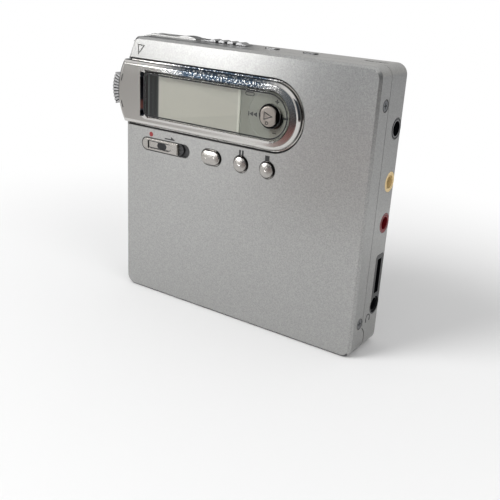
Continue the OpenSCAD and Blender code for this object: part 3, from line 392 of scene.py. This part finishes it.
ribbed_lever = ribbed_plating_with_shade("Satin plating, ribbed lever", ribs_by_angle,
                             [(0.10, "#17181A"), (0.22, "#9A9A9B")])
ribbed_slider = ribbed_plating_with_shade("Satin plating, ribbed slider", ribs_along_x,
                              [(0.28, "#7C7C7D"), (0.34, "#141517")])
print("ribs every", RIB_TURN, "degrees and", SLIDER_RIB_STEP, "mm")

# %% [markdown]
# ## Rolled, ground and cut metal
# Inside the case, sheet steel keeps the fine lines of the rolls that made it,
# so its noise is stretched along X. Shafts are ground bright, the lead screw
# is brass turned on a lathe, and contacts are plated with gold.

# %% Rolled, ground and cut metal
STRETCH = 30  # how many times longer than wide a tool line is


def brushed(name, colour, roughness, line, along=(1, STRETCH, STRETCH)):
    """Bare metal with tool lines of that width, long where along is 1."""
    material, shader = start(name, colour, roughness, 1.0)
    place_on = add(material, "ShaderNodeTexCoord").outputs["Object"]
    stretch = add(material, "ShaderNodeMapping", {"Vector": place_on, "Scale": along})
    lines = add(material, "ShaderNodeTexNoise", {"Vector": stretch.outputs["Vector"],
                                                 "Scale": 1 / (line * STRETCH)})
    rough = add(material, "ShaderNodeMapRange", {"Value": lines.outputs["Fac"],
                                                 "To Min": roughness - 0.08,
                                                 "To Max": roughness + 0.08})
    link(material, rough.outputs["Result"], shader.inputs["Roughness"])
    return material


along_z = (STRETCH, STRETCH, 1)
round_x = (STRETCH, 1, 1)  # rings, as a lathe leaves them on a shaft along X
rolled_steel = brushed("Rolled sheet steel", "#A9ABAF", 0.38, 0.2 * MM)
ground_steel = brushed("Ground and polished steel shaft", "#C8CACD", 0.15, 0.1 * MM)
zinc_steel = brushed("Zinc-plated screw steel", "#77797B", 0.34, 0.1 * MM, along_z)
turned_brass = brushed("Turned brass", "#C9A45C", 0.25, 0.15 * MM, round_x)
gold_plating = brushed("Gold plating on copper", "#D9AE55", 0.22, 0.1 * MM)
print("five metals ready")

# %% [markdown]
# ## Moulded plastic and rubber
# Moulded parts take their surface from the tool: fine erosion for a matte
# part, polish for a glossy one. The grain is a few hundredths of a
# millimetre deep, and a bump of noise gives it.

# %% Moulded plastic and rubber


def moulded(name, colour, roughness, grain=0.25 * MM, depth=0.01 * MM, ior=1.5):
    """Plastic or rubber with the grain that its mould was given."""
    material, shader = start(name, colour, roughness, 0.0, ior)
    place_on = add(material, "ShaderNodeTexCoord").outputs["Object"]
    noise = add(material, "ShaderNodeTexNoise", {"Vector": place_on, "Scale": 1 / grain})
    bump = add(material, "ShaderNodeBump", {"Height": noise.outputs["Fac"], "Strength": 0.4,
                                            "Distance": depth})
    link(material, bump.outputs["Normal"], shader.inputs["Normal"])
    return material


grey_nylon = moulded("Glass-filled nylon, dark grey", "#55575A", 0.55)
black_rubber = moulded("Moulded nitrile rubber", "#1B1B1C", 0.75, ior=1.52)
# Matte black ABS, also used as painted shade in the key's well.
black_abs_and_shade = moulded("Matte black ABS and painted shade", "#1C1D1F", 0.45)
gloss_black = moulded("Polished black ABS", "#101114", 0.16, 0.6 * MM, 0.004 * MM)
cream_abs = moulded("Cream ABS", "#D9C08C", 0.32)
red_abs = moulded("Dark red ABS", "#6E141B", 0.25)
white_acrylic = moulded("White diffusing acrylic", "#E4E4DE", 0.4)
panel_grey = moulded("Warm grey moulded panel", "#9A9B90", 0.4)
print("moulded plastics ready")

# %% [markdown]
# ## Films and circuit boards
# A battery cell is wrapped in shrink film, a flat cable is copper between
# polyimide films, and a board has a skin of solder mask. They are smooth and
# glossy, with slow waves where the film or the copper below isn't flat.

# %% Films and circuit boards
blue_film = moulded("Shrink film on a battery cell", "#3D5F96", 0.3, 2 * MM, 0.02 * MM)
solder_mask = moulded("Green solder mask on glass-epoxy", "#17452C", 0.28, 0.8 * MM, 0.01 * MM)
amber_film = moulded("Amber polyimide film", "#A8702A", 0.25, 2 * MM, 0.01 * MM)
print("films ready")

# %% [markdown]
# ## Printing inks
# Marks on the case are pad-printed: a soft pad sets down a layer of ink about a hundredth of a
# millimetre thick. It is matte and even. The same kind of matte material also paints shade: grey
# in an engraved groove, near black round the openings, and black along the record slider's step.

# %% Printing inks
# Black for printed marks, and also for painted shade along the record slider's step.
black_ink_and_shade, _ = start("Black pad-printing ink and painted shade", "#1B1B1D", 0.6)
red_ink, _ = start("Red pad-printing ink", "#7E1B20", 0.55)
# Painted shade: grey, in the insertion mark's groove.
groove_shade, _ = start("Grey painted shade in an engraved groove", "#5E5E5D", 0.6)
# Painted shade: near black, round the openings in the lid.
edge_shade, _ = start("Near-black painted shade", "#141415", 0.5)
print("inks ready")

# %% [markdown]
# ## The clear window
# The window is moulded acrylic, clear and glossy. Real glass lets lamps light
# what lies behind it, but a path tracer's shadow rays stop there, so for
# those rays alone the material is simply transparent. The pickup's lens is
# made the same way.

# %% The clear window


def clear_acrylic(name, tint, ior):
    """A clear, glossy material that lets lamps light what lies behind it."""
    material, shader = start(name, tint, 0.02, 0.0, ior)
    shader.inputs["Transmission Weight"].default_value = 1.0
    for_lamps = add(material, "ShaderNodeLightPath").outputs["Is Shadow Ray"]
    clear = add(material, "ShaderNodeBsdfTransparent")
    both = add(material, "ShaderNodeMixShader", {"Fac": for_lamps, 1: shader.outputs["BSDF"],
                                                 2: clear.outputs["BSDF"]})
    show(material, both.outputs["Shader"])
    return material


window_acrylic = clear_acrylic("Clear moulded acrylic", "#F4F6F6", 1.49)
lens_glass = clear_acrylic("Coated lens glass", "#C8D4F0", 1.52)
print("window and lens ready")

# %% [markdown]
# ## The display
# The display behind the window is grey-green liquid crystal glass. Its left
# end is masked by dark printed bands, and a pale line ends it on the right. A
# ramp along X draws them.

# %% The display
DISPLAY_X = (-34.0, 1.0)  # mm
# Dark glass, a black line and a dim edge, then the display's own colour
DISPLAY_BANDS = [(-34.0, "#020202"), (-32.3, "#050505"), (-32.1, "#5A6360"), (-31.6, "#1C1F1F"),
                 (-31.2, "#020202"), (-30.4, "#232828"), (-29.4, "#060707"), (-28.5, "#343B38"),
                 (-28.0, "#C8C6BC"), (-0.3, "#C8C6BC"), (0.0, "#E4E3DA"), (0.4, "#C9CABF")]


def liquid_crystal():
    """Display glass with its printed bands."""
    material, shader = start("Liquid crystal display glass", "#D0CEC4", 0.3, 0.0, 1.52)
    left, right = DISPLAY_X
    place_on = add(material, "ShaderNodeTexCoord").outputs["Object"]
    apart = add(material, "ShaderNodeSeparateXYZ", {"Vector": place_on})
    along = add(material, "ShaderNodeMapRange", {"Value": apart.outputs["X"],
                                                 "From Min": left * MM, "From Max": right * MM})
    bands = add(material, "ShaderNodeValToRGB", {"Fac": along.outputs["Result"]})
    set_stops(bands, [((x - left) / (right - left), colour) for x, colour in DISPLAY_BANDS])
    link(material, bands.outputs["Color"], shader.inputs["Base Color"])
    return material


display_glass = liquid_crystal()
print("display with", len(DISPLAY_BANDS), "stops")

# %% [markdown]
# ## Dress the CAD model
# Every CAD node gets the material that its real part is made of. A node's
# slot is filled on the object, so its mesh stays as it was packed.

# %% Dress the CAD model
FINISHES = {
    lacquer: ["rear_case", "top_rail"],
    lid_lacquer: ["lid_panel"],
    chrome: ["display_bezel"],
    bright_plating: ["rec_slider", "group_button", "pause_button", "stop_button"],
    ribbed_lever: ["jog_lever"],
    ribbed_slider: ["open_slider"],
    satin: ["hold_switch", "search_button", "mark_button"],
    cap_grey: ["control_key"],
    rolled_steel: ["hinge_brackets", "chassis_plate", "spindle_motor", "sled_motor",
                   "shaft_holders", "board_shield", "lid_frame", "disc_holder", "latch_plate",
                   "key_gimbal", "turntable", "head_bracket", "head_arm"],
    ground_steel: ["hinge_pins", "guide_shafts"],
    zinc_steel: ["case_screws", "lid_screws"],
    turned_brass: ["lead_screw"],
    gold_plating: ["charge_contacts"],
    grey_nylon: ["side_rails", "cross_bars", "pickup_sled"],
    black_rubber: ["rubber_dampers"],
    black_abs_and_shade: ["board_chips", "top_switches", "key_base", "jog_carrier", "magnetic_head",
                "key_stem", "slide_plate"],
    gloss_black: ["power_jack", "phones_jack", "contact_block"],
    cream_abs: ["line_in_jack", "switch_domes"],
    red_abs: ["mic_jack"],
    white_acrylic: ["lcd_backlight"],
    panel_grey: ["dial_plate"],
    blue_film: ["battery_cell"],
    solder_mask: ["main_board", "lid_board"],
    amber_film: ["ribbon_tail", "flex_ribbon"],
    window_acrylic: ["display_window"],
    lens_glass: ["objective_lens"],
    display_glass: ["lcd_panel"],
}
dressed = []
for material, names in FINISHES.items():
    for name in names:
        for slot in nodes[name].material_slots:
            slot.material = material
        dressed.append(name)
print(len(dressed), "nodes dressed, left over:", sorted(set(nodes) - set(dressed)))

# %% [markdown]
# ## Objects from bmeshes
# Whatever this lesson adds is shaped as a bmesh first. One function turns it into an object of one
# material. Another does that for a piece of the product: it turns the faces outwards and sets the
# piece on its body.

# %% Functions for new objects


def new_object(name, shape, material):
    """Turns a bmesh into an object of that material."""
    mesh = bpy.data.meshes.new(name)
    shape.to_mesh(mesh)
    shape.free()
    made = bpy.data.objects.new(name, mesh)
    bpy.context.scene.collection.objects.link(made)
    mesh.materials.append(material)
    return made


def finish_piece(name, shape, material, body):
    """Makes a bmesh an outward-facing piece that rides on a body."""
    bmesh.ops.recalc_face_normals(shape, faces=shape.faces)
    piece = new_object(name, shape, material)
    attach(piece, body)
    return piece


print("object functions ready")

# %% [markdown]
# ## Ink shapes
# Each mark is a flat shape with two hundredths of a millimetre of ink. It
# starts as a few corner points or a circle, is filled, and is extruded away
# from the surface. A function says where a point of the drawing lies, so the
# same code prints on the front, behind the window and on the right side.

# %% Functions for ink shapes
INK = 0.02  # mm of ink that stands out of the face
TO_VIEWER = (0, -1, 0)
TO_RIGHT = (1, 0, 0)


def at_depth(depth):
    """Puts points of the front view at that depth."""
    return lambda x, z: place(x, depth, z)


def on_right_side(depth, z):
    """Puts points given as depth and height on the right side."""
    return place(RIGHT_X, depth, z)


def raise_ink(shape, faces, up):
    """Gives flat faces the ink's thickness."""
    grown = bmesh.ops.extrude_face_region(shape, geom=faces)
    moved = [v for v in grown["geom"] if isinstance(v, bmesh.types.BMVert)]
    bmesh.ops.translate(shape, verts=moved, vec=Vector(up) * INK * MM)


def ink(name, outlines, spot, material, body, up=TO_VIEWER):
    """Filled outlines of points in mm, each placed by spot."""
    shape = bmesh.new()
    for outline in outlines:
        corners = [shape.verts.new(spot(a, b)) for a, b in outline]
        raise_ink(shape, [shape.faces.new(corners)], up)
    return finish_piece(name, shape, material, body)


def loop_line(name, outer, inner, spot, material, body, up=TO_VIEWER):
    """A closed line between two outlines with as many points, each placed by spot."""
    shape = bmesh.new()
    rings = [[shape.verts.new(spot(a, b)) for a, b in line] for line in (outer, inner)]
    for i in range(len(outer)):
        shape.faces.new([rings[0][i - 1], rings[0][i], rings[1][i], rings[1][i - 1]])
    raise_ink(shape, shape.faces[:], up)
    return finish_piece(name, shape, material, body)


print("ink", INK, "mm thick")

# %% Outlines


def bar(x0, x1, z0, z1):
    """A rectangle."""
    return [(x0, z0), (x1, z0), (x1, z1), (x0, z1)]


def dot(x, z, r, steps=24):
    """A disc."""
    return [(x + r * math.cos(2 * math.pi * i / steps), z + r * math.sin(2 * math.pi * i / steps))
            for i in range(steps)]


def pill(x0, x1, z, r, steps=8):
    """A bar with round ends."""
    half_turn = [math.pi * (i / steps - 0.5) for i in range(steps + 1)]
    right = [(x1 - r + r * math.cos(a), z + r * math.sin(a)) for a in half_turn]
    left = [(x0 + r - r * math.cos(a), z - r * math.sin(a)) for a in half_turn]
    return right + left


def tongue(x0, x1, z, half, steps=10):
    """A bar with a straight left end and a round right one."""
    arc = [math.pi * (i / steps - 0.5) for i in range(steps + 1)]
    right = [(x1 - half + half * math.cos(a), z + half * math.sin(a)) for a in arc]
    return right + [(x0, z + half), (x0, z - half)]


def arc_band(middle, r, width, start_angle, end_angle, steps=8):
    """A curved stroke of that width."""
    turns = [math.radians(start_angle + (end_angle - start_angle) * i / steps)
             for i in range(steps + 1)]
    points = []
    for radius, order in ((r, turns), (r - width, turns[::-1])):
        points += [(middle[0] + radius * math.cos(a), middle[1] + radius * math.sin(a))
                   for a in order]
    return points


print("a disc has", len(dot(0, 0, 1)), "points")

# %% [markdown]
# ## Marks on the lid
# Above the buttons stand the usual signs for pause and stop, and above the
# record slider a red dot and an arrow. They are signs that every player has,
# and there is no lettering.

# %% Marks on the lid
LID_MARKS = {
    "pause_mark": [bar(1.1, 1.7, 49.7, 51.3), bar(2.05, 2.65, 49.7, 51.3)],
    "stop_mark": [bar(9.7, 11.1, 49.8, 51.3)],
}
SLIDE_ARROW = [(-25.6, 49.8), (-21.5, 49.8), (-23.3, 50.8), (-23.3, 50.15), (-25.6, 50.15)]

for name, outlines in LID_MARKS.items():
    ink(name, outlines, at_depth(0), black_ink_and_shade, "lid")
ink("record_mark", [dot(-30.9, 50.4, 0.72)], at_depth(0), red_ink, "lid")
ink("slide_arrow", [SLIDE_ARROW], at_depth(0), black_ink_and_shade, "lid")
print("lid marks printed")

# %% [markdown]
# ## Marks on the panel beside the key
# The control key is tilted four ways: louder, quieter, back and on. The signs
# for these lie round it on the moulded panel, behind the clear window.

# %% Marks on the panel
PANEL_DEPTH = 0.5 - INK
PLUS_X, PLUS_Z = 12.3, 65.9
MINUS_X, MINUS_Z = 12.0, 57.6
SIGN_HALF = 0.6
SIGN_LINE = 0.15  # half of the line's width
PANEL_MARKS = {
    "back_mark": [bar(3.4, 3.7, 61.1, 62.3), [(3.75, 61.7), (4.95, 61.05), (4.95, 62.35)],
                  [(5.0, 61.7), (6.2, 61.05), (6.2, 62.35)]],
    "forward_mark": [dot(14.6, BLOCK_Z, 0.4), bar(14.9, 15.9, 61.68, 62.12)],
    "plus_mark": [bar(PLUS_X - SIGN_HALF, PLUS_X + SIGN_HALF,
                      PLUS_Z - SIGN_LINE, PLUS_Z + SIGN_LINE),
                  bar(PLUS_X - SIGN_LINE, PLUS_X + SIGN_LINE, PLUS_Z + 0.17, PLUS_Z + SIGN_HALF),
                  bar(PLUS_X - SIGN_LINE, PLUS_X + SIGN_LINE, PLUS_Z - SIGN_HALF, PLUS_Z - 0.17)],
    "minus_mark": [bar(MINUS_X - SIGN_HALF, MINUS_X + SIGN_HALF,
                       MINUS_Z - SIGN_LINE, MINUS_Z + SIGN_LINE)],
}

for name, outlines in PANEL_MARKS.items():
    ink(name, outlines, at_depth(PANEL_DEPTH), black_ink_and_shade, "lid")
loop_line("pill_mark", pill(2.1, 5.1, 66.9, 0.55), pill(2.34, 4.86, 66.9, 0.31),
          at_depth(PANEL_DEPTH), black_ink_and_shade, "lid")
print("panel marks at depth", PANEL_DEPTH)

# %% [markdown]
# ## Painted shade round the slider's sunk panel
# The record slider has a sunk panel with a straight end and a round one. A dark line along its
# step is painted shade, where the panel's wall is in shadow, and rides on the slider.

# %% Painted shade round the slider's sunk panel
# Painted shade: a black line along the sunk panel's step.
loop_line("slider_step_shade", tongue(-31.98, -23.02, BUTTON_Z, 1.13),
          tongue(-31.7, -23.3, BUTTON_Z, 0.85), at_depth(0), black_ink_and_shade, "rec_knob")
print("slider line", len(tongue(0, 1, 0, 0.3)), "points")

# %% [markdown]
# ## Painted shade round the openings
# A thin near-black line round each opening in the lid is painted shade, for the dark gap between
# the lid and the key or slider in it.

# %% Painted shade round the openings
GAP_SHADE_WIDTH = 0.17
ROUND_OPENINGS = [("pause_gap_shade", 1.85, 2.42), ("stop_gap_shade", 10.6, 2.42)]  # x, radius
LONG_OPENINGS = [("group_gap_shade", -11.9, -4.9, 2.27), ("slider_gap_shade", -34.42, -16.38, 1.87)]

# Painted shade: a near-black ring round each opening.
for name, x, r in ROUND_OPENINGS:
    loop_line(name, dot(x, BUTTON_Z, r + GAP_SHADE_WIDTH), dot(x, BUTTON_Z, r), at_depth(0), edge_shade,
              "lid")
for name, x0, x1, r in LONG_OPENINGS:
    loop_line(name, pill(x0 - GAP_SHADE_WIDTH, x1 + GAP_SHADE_WIDTH, BUTTON_Z, r + GAP_SHADE_WIDTH),
              pill(x0, x1, BUTTON_Z, r), at_depth(0), edge_shade, "lid")
print(len(ROUND_OPENINGS) + len(LONG_OPENINGS), "edges")

# %% [markdown]
# ## Paint and painted shade in the engraved signs
# The lid's insertion mark and the key's play mark are engraved outlines. The insertion mark's
# groove holds grey painted shade on its floor, and the play mark's groove holds black paint. Each
# is a little narrower than the groove, so its outline is the groove's, moved inwards.

# %% Paint and painted shade in the engraved signs
INSERT_MARK = [(-36.3, 75.9), (-33.5, 75.7), (-36.1, 72.8)]
INSERT_DEPTH = 0.2
KEY_X, KEY_Z = KEY_AT
PLAY_MARK = [(KEY_X - 1.3, KEY_Z - 1), (KEY_X - 1.3, KEY_Z + 1.25), (KEY_X + 1.55, KEY_Z + 0.1)]
KEY_RING_AT = (KEY_X - 0.3, KEY_Z - 1.75)
KEY_GROOVE_DEPTH = -1.25


def shrunk(triangle, by):
    """A triangle with each side moved inwards by that much."""
    a, b, c = [Vector(p) for p in triangle]
    sides = [(b - c).length, (c - a).length, (a - b).length]
    centre = (a * sides[0] + b * sides[1] + c * sides[2]) / sum(sides)
    inner_r = abs((b - a).cross(c - a)) / sum(sides)
    return [tuple(centre + (p - centre) * (1 - by / inner_r)) for p in (a, b, c)]


# Painted shade: grey on the floor of the insertion mark's groove.
loop_line("insert_mark", shrunk(INSERT_MARK, 0.02), shrunk(INSERT_MARK, 0.33),
          at_depth(INSERT_DEPTH), groove_shade, "lid")
loop_line("play_mark", shrunk(PLAY_MARK, 0.01), shrunk(PLAY_MARK, 0.24),
          at_depth(KEY_GROOVE_DEPTH), black_ink_and_shade, "key_cap")
loop_line("key_ring_mark", dot(*KEY_RING_AT, 0.49), dot(*KEY_RING_AT, 0.26),
          at_depth(KEY_GROOVE_DEPTH), black_ink_and_shade, "key_cap")
print("engraved signs painted")

# %% [markdown]
# ## The window's border
# A black line is printed round the window's edge, and hides the glue behind
# it. Its outline is the window's: a large arc on the right, and two small
# corners on the left. Both loops are worked out from the same arcs, so they
# have as many points.

# %% The window's border
PANE_DEPTH = -0.55
WINDOW_MIDDLE_X = 10.0  # of the large arc
WINDOW_R = 6.2
WINDOW_LEFT = -33.6
WINDOW_CORNER = 1.4


def window_loop(inset):
    """The window's outline, moved inwards."""
    r = WINDOW_R - inset
    corner = WINDOW_CORNER - inset
    points = [(WINDOW_MIDDLE_X + r * math.cos(a), BLOCK_Z + r * math.sin(a))
              for a in (math.pi * (i / 40 - 0.5) for i in range(41))]
    for side, first in ((1, math.pi / 2), (-1, math.pi)):
        x, z = WINDOW_LEFT + WINDOW_CORNER, BLOCK_Z + side * (WINDOW_R - WINDOW_CORNER)
        turns = (first + math.pi / 2 * i / 6 for i in range(7))
        points += [(x + corner * math.cos(a), z + corner * math.sin(a)) for a in turns]
    return points


loop_line("window_border", window_loop(0.02), window_loop(0.4), at_depth(PANE_DEPTH), black_ink_and_shade,
          "lid")
print("window border", len(window_loop(0)), "points a loop")

# %% [markdown]
# ## Painted shade in the key's well
# The window's hole round the key is lined with black: painted shade for the dark inside of the
# well. The black is a short tube, made of four rings that are joined in a loop.

# %% Painted shade in the key's well
WELL_R = 3.34
WELL_SHADE_WALL = 0.1
WELL_DEPTH = 1.0


def tube(name, middle, r_out, r_in, depth_0, depth_1, material, body, steps=48):
    """A short tube along the depth."""
    shape = bmesh.new()
    rings = []
    for r, depth in ((r_out, depth_0), (r_out, depth_1), (r_in, depth_1), (r_in, depth_0)):
        rings.append([shape.verts.new(place(x, depth, z)) for x, z in dot(*middle, r, steps)])
    for ring, following in zip(rings, rings[1:] + rings[:1]):
        for i in range(steps):
            shape.faces.new([ring[i - 1], ring[i], following[i], following[i - 1]])
    return finish_piece(name, shape, material, body)


# Painted shade: a thin black tube round the key.
tube("well_shade", KEY_AT, WELL_R, WELL_R - WELL_SHADE_WALL, PANE_DEPTH, WELL_DEPTH, black_abs_and_shade, "lid")
print("well lined, radius", WELL_R, "mm")

# %% [markdown]
# ## Signs on the edges
# Two curved strokes beside the thumb lever show that it rocks. On the right
# side a plated ring edges the power socket, and a sign of a pair of headphones
# stands below their socket.

# %% Signs on the edges
STROKE = 0.3
LEVER_MIDDLE = (-30.2, BLOCK_Z)
LEVER_STROKE_R = 12.2
LEVER_STROKES = [(156, 166), (194, 204)]  # degrees
BLOCK_DEPTH = -1.1
POWER_AT = (12.4, 61.9)  # depth and height on the right side
PHONES_SIGN = (9.0, 9.4)
BAND_R = 1.3  # the headband's

ink("lever_strokes", [arc_band(LEVER_MIDDLE, LEVER_STROKE_R, STROKE, start_angle, end_angle)
                      for start_angle, end_angle in LEVER_STROKES],
    at_depth(BLOCK_DEPTH), black_ink_and_shade, "lid")
loop_line("power_ring", dot(*POWER_AT, 2.33, 32), dot(*POWER_AT, 1.97, 32), on_right_side, satin,
          "base", up=TO_RIGHT)
sign_depth, sign_z = PHONES_SIGN
ink("phones_sign", [arc_band(PHONES_SIGN, BAND_R, STROKE, 0, 180, 12),
                    bar(sign_depth - 1.35, sign_depth - 0.85, sign_z - 1.0, sign_z - 0.02),
                    bar(sign_depth + 0.85, sign_depth + 1.35, sign_z - 1.0, sign_z - 0.02)],
    on_right_side, black_ink_and_shade, "base", up=TO_RIGHT)
print("signs on the edges printed")

# %% [markdown]
# ## The studio's floor
# The floor is pale and catches the object's shadow. Further out the camera
# sees it turn to plain white, so that no horizon shows, and so do mirrors and
# clear plastic. For all other light it stays a matte floor.

# %% Floor
WHITE_FROM = 0.07  # m from the object's middle, where the floor starts to turn white
WHITE_AT = 0.19
FLOOR_HALF = 4.0  # m


def seen_share(owner, path):
    """1 for rays from the camera, through clear plastic or off a mirror, else 0."""
    seen = add(owner, "ShaderNodeMath", {0: path.outputs["Is Camera Ray"],
                                         1: path.outputs["Is Transmission Ray"]},
               operation="MAXIMUM")
    return add(owner, "ShaderNodeMath", {0: seen.outputs[0], 1: path.outputs["Is Glossy Ray"]},
               operation="MAXIMUM").outputs[0]


def make_floor():
    """A pale floor that is seen to turn to plain white away from the object."""
    material, shader = start("Pale studio floor", "#F2F2F2", 0.7)
    place_on = add(material, "ShaderNodeTexCoord").outputs["Object"]
    away = add(material, "ShaderNodeVectorMath", {0: place_on}, operation="LENGTH")
    far = add(material, "ShaderNodeMapRange", {"Value": away.outputs["Value"],
                                               "From Min": WHITE_FROM, "From Max": WHITE_AT},
              interpolation_type="SMOOTHSTEP")
    path = add(material, "ShaderNodeLightPath")
    share = add(material, "ShaderNodeMath", {0: far.outputs["Result"],
                                             1: seen_share(material, path)},
                operation="MULTIPLY")
    white = add(material, "ShaderNodeEmission", {"Strength": 1.0})
    both = add(material, "ShaderNodeMixShader", {"Fac": share.outputs[0],
                                                 1: shader.outputs["BSDF"],
                                                 2: white.outputs["Emission"]})
    show(material, both.outputs["Shader"])
    shape = bmesh.new()
    bmesh.ops.create_grid(shape, x_segments=1, y_segments=1, size=FLOOR_HALF)
    floor = new_object("floor", shape, material)
    return floor


make_floor()
print("floor laid, plain white beyond", WHITE_AT, "m")

# %% [markdown]
# ## The room
# The world stands for the room. The camera sees it white, and it lights matte
# surfaces evenly, at about half strength. Plated keys and lacquer mirror it in
# tones from the horizon up: white low down, grey walls, and a white ceiling.

# %% Surround
ROOM = [(0.0, "#FFFFFF"), (0.03, "#DEDCD9"), (0.35, "#D0CFCD"), (0.6, "#FFFFFF"),
        (1.0, "#FFFFFF")]
ROOM_LIGHT = 0.55


def make_surround():
    """A white world that mirrors see in ROOM's tones, dimmer as a light."""
    world = bpy.data.worlds.new("White surround")
    world.use_nodes = True
    bpy.context.scene.world = world
    background = world.node_tree.nodes["Background"]
    path = add(world, "ShaderNodeLightPath")
    level = add(world, "ShaderNodeMapRange", {"Value": seen_share(world, path),
                                              "To Min": ROOM_LIGHT, "To Max": 1.0})
    link(world, level.outputs["Result"], background.inputs["Strength"])
    direction = add(world, "ShaderNodeTexCoord").outputs["Generated"]
    up = add(world, "ShaderNodeSeparateXYZ", {"Vector": direction}).outputs["Z"]
    room = add(world, "ShaderNodeValToRGB", {"Fac": up})
    set_stops(room, ROOM)
    colour = add(world, "ShaderNodeMix", {"Factor": path.outputs["Is Glossy Ray"],
                                          MIX_A: linear("#FFFFFF"),
                                          MIX_B: room.outputs["Color"]}, data_type="RGBA")
    link(world, colour.outputs[MIX_RESULT], background.inputs["Color"])
    return world


make_surround()
print("surround lit, seen in", len(ROOM), "tones")

# %% [markdown]
# ## Lamps
# Two large soft lamps light the object from the upper left and from the
# right. Mirrors don't show them. A small third one stands low on the left and
# is mirrored: it makes the bright strip along the top of the lid.

# %% Lamps
LOW_LAMP_TURN = 34  # degrees to the left of straight ahead
LOW_LAMP_AWAY = 0.5
LOW_LAMP_Z = 0.095


def soft_lamp(name, at, size, watts, look=(0, 0, 0.04), mirrored=False):
    """An area lamp that looks at the object. Mirrors show it only if mirrored."""
    light = bpy.data.lights.new(name, "AREA")
    light.shape = "RECTANGLE"
    light.size, light.size_y = size
    light.energy = watts
    lamp = bpy.data.objects.new(name, light)
    bpy.context.scene.collection.objects.link(lamp)
    lamp.location = at
    lamp.rotation_euler = (Vector(look) - Vector(at)).to_track_quat("-Z", "Y").to_euler()
    lamp.visible_glossy = mirrored
    return lamp


def around(turn, away, height):
    """A place at that turn to the left of straight ahead, in degrees."""
    angle = math.radians(turn)
    return (-away * math.sin(angle), -away * math.cos(angle), height)


low_lamp_at = around(LOW_LAMP_TURN, LOW_LAMP_AWAY, LOW_LAMP_Z)
soft_lamp("key_lamp", (-0.55, -0.75, 0.75), (0.6, 0.6), watts=9.0)
soft_lamp("fill_lamp", (0.9, -0.3, 0.5), (0.6, 0.6), watts=2.4)
soft_lamp("low_lamp", low_lamp_at, (0.17, 0.11), watts=0.7, look=(0, 0, LOW_LAMP_Z), mirrored=True)
print("three lamps, the low one at", [round(v, 2) for v in low_lamp_at])

# %% [markdown]
# ## Cards for reflections
# Photographers stand cards round a shiny object to shape what it mirrors.
# Dark ones in front, on the right and at the far left give the chrome its
# black edges. Pale ones on the left and behind keep the lacquer's sides from
# going darker than the front. The cards are seen by mirrors only. They cast no
# shadow and don't hide the background.

# %% Cards


def card(name, turn, away, width, high, tones):
    """A standing card of plain tones from foot to top, which only mirrors see."""
    material, shader = start(name, "#000000", 1.0)
    place_on = add(material, "ShaderNodeTexCoord").outputs["Object"]
    apart = add(material, "ShaderNodeSeparateXYZ", {"Vector": place_on})
    along = add(material, "ShaderNodeMapRange", {"Value": apart.outputs["Z"],
                                                 "From Min": 0.0, "From Max": high})
    tone = add(material, "ShaderNodeValToRGB", {"Fac": along.outputs["Result"]})
    set_stops(tone, tones)
    link(material, tone.outputs["Color"], shader.inputs["Emission Color"])
    shader.inputs["Emission Strength"].default_value = 1.0
    shape = bmesh.new()
    bmesh.ops.create_grid(shape, x_segments=1, y_segments=1, size=0.5)
    stand = Matrix.Translation((0, 0, high / 2)) @ Matrix.Rotation(
        math.radians(90), 4, "X") @ Matrix.Diagonal((width, high, 1, 1))
    bmesh.ops.transform(shape, matrix=stand, verts=shape.verts)
    stood = new_object(name, shape, material)
    stood.location = around(turn, away, 0)
    stood.rotation_euler = (0, 0, -math.radians(turn))
    stood.visible_camera = False
    stood.visible_diffuse = False
    stood.visible_transmission = False
    stood.visible_shadow = False
    return stood


card("right_card", -66, 0.35, 0.5, 0.4,
     [(0.0, "#5A3330"), (0.08, "#15161A"), (0.2, "#2A2F36"), (1.0, "#3E4750")])
card("front_card", 12, 0.12, 0.06, 0.10,
     [(0.0, "#B0ACA9"), (0.28, "#A89C98"), (0.31, "#8A4A44"), (0.35, "#8A4A44"),
      (0.37, "#101114"), (0.43, "#101114"), (0.46, "#36434E"), (1.0, "#55616D")])
card("left_card", 58, 0.25, 0.24, 0.05, [(0.0, "#D0CECC"), (1.0, "#A9A8A6")])
card("edge_card", 112, 0.3, 0.4, 0.3, [(0.0, "#1E2024"), (1.0, "#44484E")])
card("back_card", -152, 0.15, 0.14, 0.09, [(0.0, "#E0E0E0"), (1.0, "#B4B5B8")])
print("five cards")

# %% [markdown]
# ## The camera
# The camera stands where the photographer's did: its place, turn and focal
# length come from the straight edges and round keys in the photograph, with
# the body's real size as the scale.

# %% Camera
CAMERA_AT = (115.34, -173.30, 97.05)  # mm
CAMERA_TURN = (69.052, -3.405, 33.954)  # degrees about X, Y, Z
PHOTO_WIDTH = 500  # pixels
FOCAL_PIXELS = 741.7
SHIFT_PIXELS = (-7.44, 6.54)
SENSOR = 36.0  # mm


def make_camera():
    """The photograph's camera."""
    lens = bpy.data.cameras.new("camera")
    lens.sensor_width = SENSOR
    lens.lens = FOCAL_PIXELS / PHOTO_WIDTH * SENSOR
    lens.shift_x = SHIFT_PIXELS[0] / PHOTO_WIDTH
    lens.shift_y = SHIFT_PIXELS[1] / PHOTO_WIDTH
    lens.clip_start = 0.01
    camera = bpy.data.objects.new("camera", lens)
    bpy.context.scene.collection.objects.link(camera)
    camera.location = Vector(CAMERA_AT) * MM
    camera.rotation_euler = [math.radians(a) for a in CAMERA_TURN]
    bpy.context.scene.camera = camera
    return camera


camera = make_camera()
print("focal length", round(camera.data.lens, 1), "mm")

# %% [markdown]
# ## Finish
# The view transform is set to Standard, so a colour on screen is the colour that was written.

# %% Finish
bpy.context.scene.view_settings.view_transform = "Standard"
